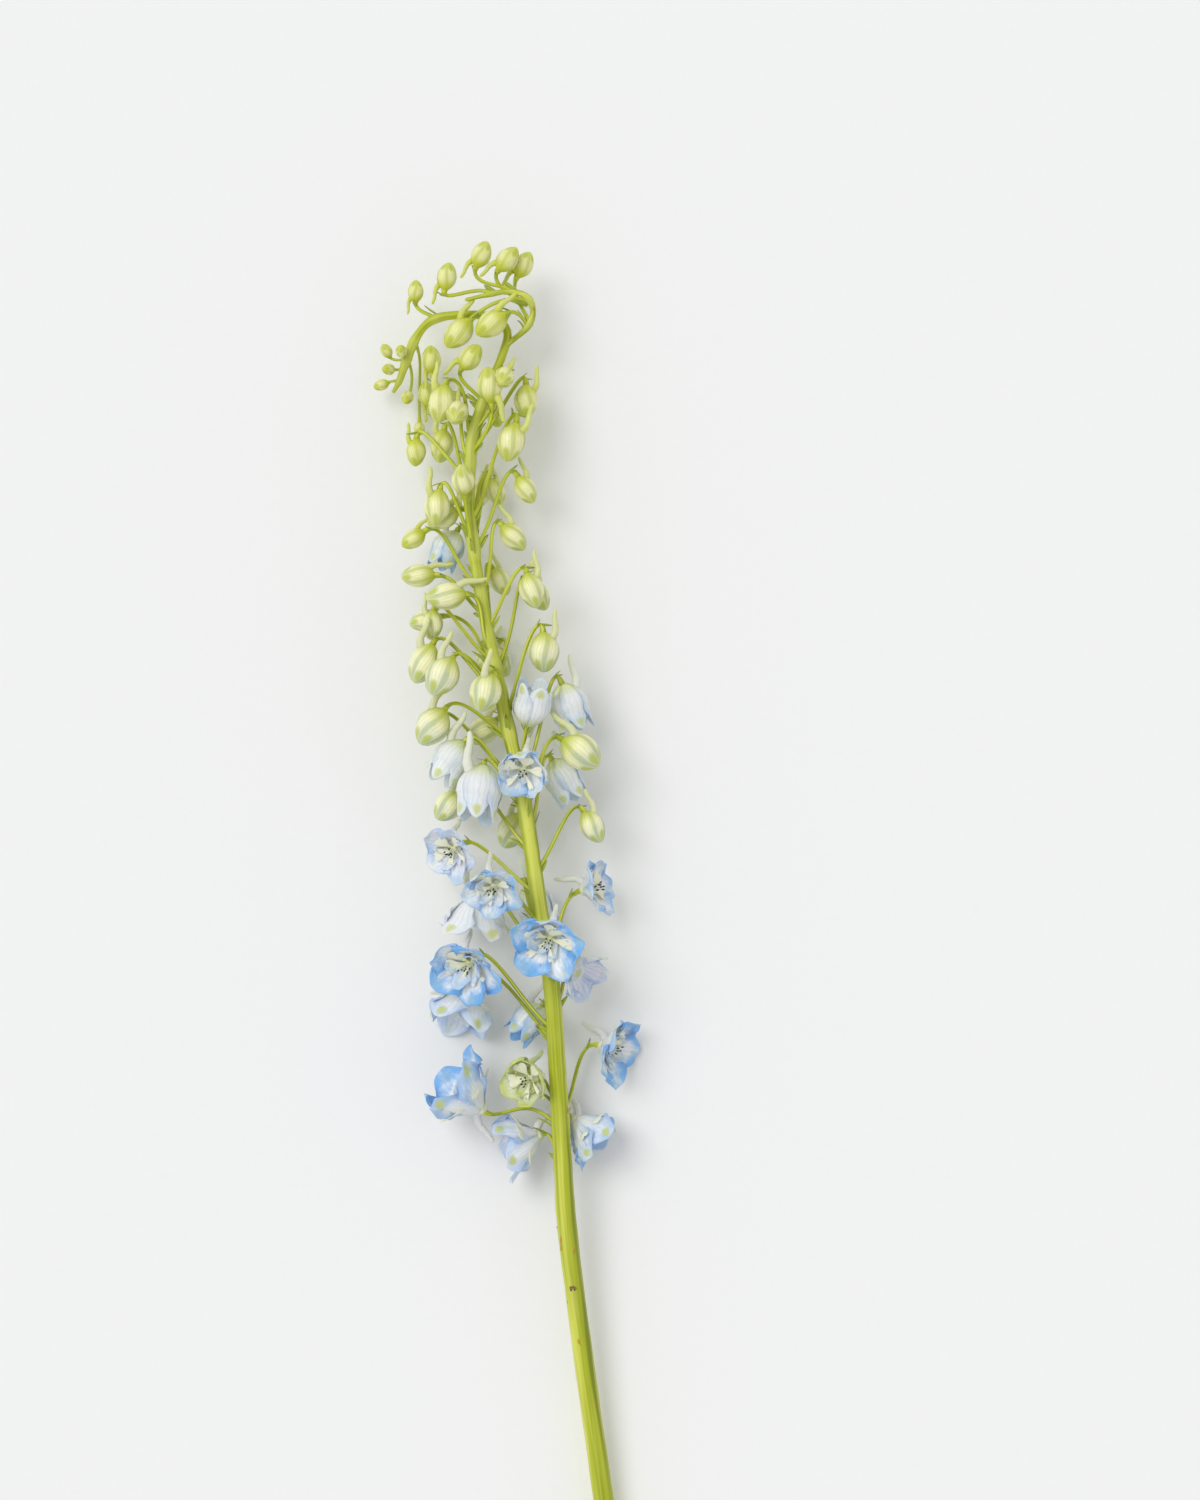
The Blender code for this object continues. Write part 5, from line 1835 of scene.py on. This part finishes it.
@dataclass(frozen=True)
class SepalFinish(Finish):
    """Petal tissue: pale at the foot, flushed towards its margin and tip, with veins and a spot.

    The first ten fields are its colours, named for their places.

    Args:
        foot_reach: How far the foot's colour reaches.
        flush_reach: Where the flush begins and is full.
        spot_place: Place of the spot along the sepal.
        spot_size: Its half length and half width, as shares of the sepal.
        spot_inside: How strongly it shows on the inner face.
        veins: How strongly veins show.
        count: Veins, as a pace across.
        seam: How strongly the veins' olive colour lines the margins: partly the sepals' own green edges,
            partly painted shade along the seams and on the darker sides of each sepal.
    """

    base: str = "FEFFFA"
    foot: str = "F7F8D2"
    flush: str = "80BEF7"
    deep: str = "569FEA"
    lilac: str = "C9C4F0"
    young: str = "CBD573"
    spot: str = "BCC746"
    vein: str = "6FA6E4"
    back: str = "E0E8F4"
    spur: str = "E8EBD2"
    foot_reach: float = 0.22
    flush_reach: tuple[float, float] = (0.52, 1.08)
    spot_place: float = 0.86
    spot_size: tuple[float, float] = (0.085, 0.22)
    spot_inside: float = 0.25
    veins: float = 0.42
    count: float = 15.0
    seam: float = 0.0

    def surface(self, graph: Graph, effects: Effects, place: Any) -> Values:
        """Colour, roughness and height of petal tissue."""
        along, across, back = graph.parts("place")
        blue, lilac, green = graph.parts("tone")
        kind, chance, _ = graph.parts("trait")
        stretched = graph.stretched(place, 150.0)
        cloud = graph.group(effects.patches, Place=stretched, Low=0.30, High=0.70)
        wide = graph.group(effects.patches, Place=graph.stretched(place, 60.0), Low=0.35, High=0.65)
        lines = {"Along": along, "Across": across, "Chance": chance, "Count": self.count}
        veins = graph.group(effects.veins, Wander=0.35, **lines)
        aside = graph.math("ABSOLUTE", across)
        margin = graph.times(graph.squared(aside), 0.42)
        edge = graph.math("ADD", graph.times(along, 0.72), margin)
        edge = graph.times_plus(cloud, 0.30, edge)
        edge = graph.times_plus(chance, 0.12, edge)
        low, high = self.flush_reach
        flushed = graph.times(graph.rise(edge, low, high), graph.times(blue, 1.25), clamp=True)
        colour = graph.mix(flushed, self.base, self.flush)
        deep = graph.rise(graph.times_plus(blue, 0.55, edge), 0.95, 1.75)
        deep = graph.times(deep, graph.times(blue, 1.1), clamp=True)
        colour = graph.tint(colour, self.deep, deep, 0.85)
        colour = graph.tint(colour, self.lilac, graph.times(lilac, graph.times_plus(wide, 0.6, 0.4)))
        shown = graph.times(veins, graph.times_plus(flushed, 0.3, 0.55))
        colour = graph.tint(colour, self.vein, shown, self.veins)
        colour = graph.tint(colour, self.back, back, 0.35)
        # Olive towards each sepal's margins: partly the own green edges, partly painted shade at the seams
        # between sepals and on their sides
        colour = graph.tint(colour, self.vein, graph.rise(aside, 0.35, 1.0), self.seam)
        colour = graph.tint(colour, self.foot, graph.rise(along, self.foot_reach, 0.0), 0.9)
        ends = graph.rise(graph.math("ABSOLUTE", graph.math("SUBTRACT", along, 0.55)), 0.10, 0.48)
        fresh = graph.times_plus(ends, 0.65, graph.times_plus(cloud, 0.25, 0.48))
        young = graph.times(green, fresh, clamp=True)
        colour = graph.tint(colour, self.young, young)
        long, broad = self.spot_size
        up = graph.squared(graph.math("SUBTRACT", along, self.spot_place), long)
        sideways = graph.squared(across, broad)
        spot = graph.times(graph.rise(graph.math("ADD", up, sideways), 2.0, 0.1), 0.8)
        seen = graph.times_plus(back, 1 - self.spot_inside, self.spot_inside)
        colour = graph.tint(colour, self.spot, graph.times(spot, seen))
        flushed_spur = graph.times(blue, graph.times_plus(along, -0.4, 0.55))
        spur = graph.tint(self.spur, self.lilac, flushed_spur)
        spur = graph.tint(spur, self.young, young)
        colour = graph.mix(graph.is_kind(kind, Kind.STALK), colour, spur)
        rough = graph.times_plus(cloud, 0.14, self.roughness - 0.07)
        grain = graph.noise(graph.stretched(place, 1800.0), 1.0, 2.0)
        height = graph.times_plus(grain, 0.35, graph.times(veins, -0.5))
        height = graph.times_plus(cloud, 0.8, height)
        return colour, rough, height


@dataclass(frozen=True)
class StemFinish(Finish):
    """Colours of fresh green stalks with fine streaks, pale swellings, brown scars and rust specks."""

    base: str = "AEB826"
    light: str = "D9DC60"
    dark: str = "75800A"
    young: str = "BEC832"
    node: str = "D5DA74"
    scar: str = "644520"
    rust: str = "B4782A"

    def surface(self, graph: Graph, effects: Effects, place: Any) -> Values:
        """Colour, roughness and height of a stalk."""
        along, cosine, sine = graph.parts("place")
        _, _, green = graph.parts("tone")
        kind, chance, swelling = graph.parts("trait")
        main = graph.is_kind(kind, Kind.MAIN)
        bands = self.streaks(graph, (along, cosine, sine), chance, main, (0.9, 5.0))
        fine = self.streaks(graph, (along, cosine, sine), chance, main, (3.4, 9.0))
        colour = graph.mix(graph.rise(bands, 0.46, 0.66), self.base, self.light)
        colour = graph.tint(colour, self.dark, graph.rise(bands, 0.46, 0.30), 0.8)
        colour = graph.tint(colour, self.light, graph.rise(fine, 0.50, 0.70), 0.4)
        colour = graph.tint(colour, self.dark, graph.rise(fine, 0.46, 0.28), 0.35)
        up = graph.times(graph.rise(along, 0.55, 1.0), main)
        tender = graph.math("MAXIMUM", graph.times(green, 0.6), graph.times(up, 0.5))
        colour = graph.tint(colour, self.young, tender)
        colour = graph.tint(colour, self.node, graph.rise(swelling, 0.05, 0.6), 0.5)
        rusty = graph.times(graph.rise(along, 0.29, 0.33), graph.rise(along, 0.43, 0.38))
        edge = graph.times_plus(graph.times(rusty, main), -0.06, 0.73)
        cloud = graph.noise(graph.stretched(place, 260.0, 130.0, 260.0), 1.0, 1.0)
        specks = graph.rise(cloud, edge, graph.math("ADD", edge, 0.05))
        colour = graph.tint(colour, self.rust, specks, 0.8)
        scar = graph.mix(graph.rise(fine, 0.55, 0.75), self.scar, self.node)
        colour = graph.mix(graph.is_kind(kind, Kind.INNER), colour, scar)
        rough = graph.times_plus(fine, 0.25, self.roughness - 0.12)
        return colour, rough, graph.times_plus(fine, 1.0, graph.times(specks, 0.5))

    @staticmethod
    def streaks(graph: Graph, place: tuple, chance: Any, main: Any, scale: tuple[float, float]) -> Any:
        """Noise that is drawn out along a stalk.

        Args:
            graph: The material's graph.
            place: Share along the stalk, and cosine and sine of the turn round it.
            chance: The stalk's chance value.
            main: 1 on the main stem, 0 on a thin stalk.
            scale: Its pace round the stalk, and along the main stem.

        Returns:
            Values of 0 to 1.
        """
        along, cosine, sine = place
        pace = graph.times_plus(main, scale[1] - 1.2, 1.2)
        run = graph.times_plus(chance, 61.0, graph.times(along, pace))
        spot = graph.vector(graph.times(cosine, scale[0]), graph.times(sine, scale[0]), run)
        return graph.noise(spot, 1.0)


@dataclass(frozen=True)
class EyeFinish(Finish):
    """Colours of the cream petals with their feet and tips, pale filaments and dusty dark anthers."""

    cream: str = "FFFDDC"
    foot: str = "EFF0B4"
    edge: str = "FFFFFA"
    filament: str = "E6E9C4"
    anther: str = "1D1B10"
    pollen: str = "6E6A24"

    def surface(self, graph: Graph, effects: Effects, place: Any) -> Values:
        """Colour, roughness and height of the eye."""
        along, across, _ = graph.parts("place")
        kind, chance, _ = graph.parts("trait")
        lines = {"Along": along, "Across": across, "Chance": chance, "Count": 9.0}
        veins = graph.group(effects.veins, Wander=0.2, **lines)
        colour = graph.mix(graph.rise(along, 0.4, 0.0), self.cream, self.foot)
        colour = graph.tint(colour, self.edge, graph.rise(along, 0.75, 1.0))
        colour = graph.tint(colour, self.foot, veins, 0.35)
        colour = graph.tint(colour, self.filament, graph.is_kind(kind, Kind.STALK))
        dust = graph.noise(graph.stretched(place, 2600.0), 1.0, 2.0)
        pod = graph.mix(graph.rise(dust, 0.58, 0.74), self.anther, self.pollen)
        colour = graph.mix(graph.is_kind(kind, Kind.INNER), colour, pod)
        return colour, graph.times_plus(dust, 0.2, self.roughness - 0.1), dust


@dataclass(frozen=True)
class BractFinish(Finish):
    """Colours of a green bract with light veins that withers to brown at its tip."""

    base: str = "9DAF35"
    light: str = "C4D069"
    tip: str = "7A5A2E"

    def surface(self, graph: Graph, effects: Effects, place: Any) -> Values:
        """Colour, roughness and height of a bract."""
        along, across, _ = graph.parts("place")
        _, chance, _ = graph.parts("trait")
        lines = {"Along": along, "Across": across, "Chance": chance, "Count": 6.0}
        veins = graph.group(effects.veins, Wander=0.05, **lines)
        colour = graph.mix(graph.times(veins, 0.6), self.base, self.light)
        withered = graph.rise(graph.times_plus(chance, 0.35, along), 0.98, 1.22)
        colour = graph.tint(colour, self.tip, withered)
        return colour, graph.times_plus(withered, 0.2, self.roughness), veins


@dataclass(frozen=True)
class FloorFinish(Finish):
    """Colours of a plain matt pale board and of its faint grain."""

    colour: str = "F4F4F4"
    grain: str = "F2F2F2"

    def surface(self, graph: Graph, effects: Effects, place: Any) -> Values:
        """Colour, roughness and height of the board."""
        grain = graph.noise(graph.stretched(place, 300.0), 1.0, 2.0)
        return graph.mix(grain, self.colour, self.grain), self.roughness, grain


PETAL_FINISH = SepalFinish("petal_sky_blue", roughness=0.5, glow=0.4, relief=0.35)
BELL_FINISH = SepalFinish(
    "bell_pale_blue", roughness=0.46, glow=0.4, relief=0.4, foot="DDE68C", back="F6F8F2", spot="C8CF66",
    vein="93B4D2", foot_reach=0.36, flush_reach=(0.50, 1.05), spot_size=(0.09, 0.30), veins=0.6,
    count=10.0,
)
# Buds carry the olive seam tint at their sepal margins: partly their own green edges, partly painted shade
BUD_FINISH = SepalFinish(
    "bud_cream", roughness=0.36, glow=0.3, relief=0.45, base="FDFAC6", foot="BFCB30", flush="DCE6F6",
    deep="A3C6F2", lilac="D9D5EC", young="CDD336", spot="B9C53A", vein="A3B13A", back="FEFCD8",
    spur="DDE19A", foot_reach=0.45, flush_reach=(0.55, 1.25), spot_place=0.86, spot_size=(0.14, 0.55),
    spot_inside=1.0, veins=0.75, count=8.0, seam=0.5,
)
STEM_FINISH = StemFinish("stem_green", roughness=0.36, glow=0.10, relief=0.35)
EYE_FINISH = EyeFinish("eye_cream", roughness=0.55, glow=0.3, relief=0.2)
BRACT_FINISH = BractFinish("bract_green", roughness=0.5, glow=0.15, relief=0.3)
FLOOR_FINISH = FloorFinish("floor_board", roughness=0.9, glow=0.0, relief=0.02)


@dataclass
class Studio:
    """Plain pale floor, soft light and the camera, which looks straight down.

    Args:
        floor: Side of the floor, in metres.
        drop: How far the floor lies under the spike's lowest point, in metres.
        key: Strength of the soft light from the upper left.
        softness: Width of that light, in degrees.
        slant: Its turn about the x and the y axis, in degrees.
        sky: Strength of the even light all round.
        sky_colour: Colour of that light.
        lens: Focal length, in millimetres.
    """

    floor: float = 6.0
    drop: float = 0.0001
    key: float = 1.26
    softness: float = 34.0
    slant: tuple[float, float] = (-20.0, -27.0)
    sky: float = 0.67
    sky_colour: tuple[float, float, float] = (0.975, 0.98, 0.985)
    lens: float = 100.0

    def build(self, effects: Effects) -> None:
        """Builds floor, light and camera."""
        half = self.floor / 2
        mesh = bpy.data.meshes.new("floor")
        corners = ((-half, -half), (half, -half), (half, half), (-half, half))
        mesh.from_pydata([(x, y, -self.drop) for x, y in corners], [], [(0, 1, 2, 3)])
        mesh.materials.append(FLOOR_FINISH.material(effects))
        joined("floor", mesh)
        light = bpy.data.lights.new("key", "SUN")
        light.energy, light.angle = self.key, math.radians(self.softness)
        key = joined("key", light)
        key.rotation_euler = (math.radians(self.slant[0]), math.radians(self.slant[1]), 0.0)
        world = bpy.data.worlds.new("studio")
        world.use_nodes = True
        sky = world.node_tree.nodes["Background"]
        sky.inputs["Color"].default_value = (*self.sky_colour, 1.0)
        sky.inputs["Strength"].default_value = self.sky
        bpy.context.scene.world = world
        bpy.context.scene.view_settings.view_transform = "Standard"
        self.camera()

    def camera(self) -> None:
        """Adds the camera over the middle of the picture."""
        lens = bpy.data.cameras.new("camera")
        lens.lens = self.lens
        lens.sensor_fit = "VERTICAL"
        lens.sensor_height = 36.0
        lens.sensor_width = 36.0
        eye = joined("camera", lens)
        x, y = (CAMERA_SPOT[0] - ORIGIN[0]) * MM, (CAMERA_SPOT[1] - ORIGIN[1]) * MM
        eye.location = (x, y, CAMERA_HEIGHT)
        bpy.context.scene.camera = eye


def tone_of(bloom: Bloom, chance: np.random.Generator) -> Tone:
    """Colouring of a bloom: its own, or the common one of its stage and height on the spike.

    Args:
        bloom: The bloom.
        chance: Source of small differences.

    Returns:
        Its colouring.
    """
    if bloom.node in TONES:
        return TONES[bloom.node]
    if bloom.stage is Stage.BELL:
        return BELL_TONE
    if bloom.node == GREEN_NODE or bloom.stage is Stage.GREEN:
        return GREEN_TONE
    young = float(smooth(np.array(bloom.y), *YOUNG_REACH))
    green = 0.10 + 0.45 * young + chance.uniform(-0.06, 0.10)
    return Tone(0.75 * (1 - young) ** 1.5, 0.12 * (1 - young), green)


def maker_of(bloom: Bloom, tone: Tone, seed: int) -> ClosedBloom | OpenBloom:
    """The sub-assembly that builds a bloom of that stage."""
    if bloom.form.mouth:
        return Bell(bloom, tone, seed)
    if bloom.form.plump and bloom.node == GREEN_NODE:
        return ClosedBloom(bloom, tone, seed, rows=16, columns=6)
    if bloom.form.plump:
        return ClosedBloom(bloom, tone, seed)
    return OpenBloom(bloom, tone, seed)


def stem_lines(steps: tuple[float, float]) -> tuple[Line, Line]:
    """Lines of the stem and of the side branch, with points at these distances."""
    return Line.through(STEM_KNOTS, steps[0]), Line.through(BRANCH_KNOTS, steps[1])


def build_blooms(raceme: Raceme, effects: Effects) -> None:
    """Builds every bloom and eye on its place.

    Args:
        raceme: The placed blooms.
        effects: The shared effects.
    """
    finishes = {
        "floret": (PETAL_FINISH.material(effects), "sepal_blue"),
        "bell": (BELL_FINISH.material(effects), "bell_pale_blue"),
        "bud": (BUD_FINISH.material(effects), BUD_SLOT),
        "eye": (EYE_FINISH.material(effects), "eye_cream"),
    }
    chance, bases = np.random.default_rng(TONE_SEED), raceme.bases()
    stocks: dict[str, Stock] = {}
    for index, bloom in enumerate(raceme.blooms):
        tone, place = tone_of(bloom, chance), (raceme.frames[index], bases[index])
        part = maker_of(bloom, tone, BLOOM_SEED + index).build()
        stocks.setdefault(bloom.node, Stock()).take(part, *place)
        if bloom.form.eye:
            name = bloom.node.replace("floret", "eye")
            stocks[name] = Stock()
            stocks[name].take(Eye(bloom, tone, EYE_SEED + index).build(), *place)
    for node, stock in sorted(stocks.items()):
        if node == GREEN_NODE:
            stock.piece("green_tip_buds", finishes["bud"][0], BUD_SLOT, [node])
        else:
            material, slot = finishes[node.split("_")[0]]
            stock.piece(f"{node}_fine", material, slot, [node])


def build_stem(raceme: Raceme, effects: Effects) -> None:
    """Builds the stem, its pedicels and its bracts.

    Args:
        raceme: The placed blooms.
        effects: The shared effects.
    """
    green = STEM_FINISH.material(effects)
    stalks = Stalks(raceme)
    main_stem = MainStem(*stem_lines(FINE_STEPS), raceme.feet)
    main_stem.build().piece("main_stem", green, "stem_green", ["stem"])
    stalks.build().piece("pedicels", green, "stem_green", ["stem"])
    leaves = BRACT_FINISH.material(effects)
    Bracts(raceme, stalks).build().piece("bracts", leaves, "stem_green", ["stem"])


def main() -> None:
    """Builds the spike, dresses it and sets up the studio."""
    logging.basicConfig(level=logging.INFO, format="%(message)s")
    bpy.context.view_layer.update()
    raceme = Raceme(BLOOMS, *stem_lines(COARSE_STEPS), Settling())
    effects = Effects()
    build_stem(raceme, effects)
    build_blooms(raceme, effects)
    Studio().build(effects)
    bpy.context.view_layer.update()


if __name__ == "__main__":
    main()
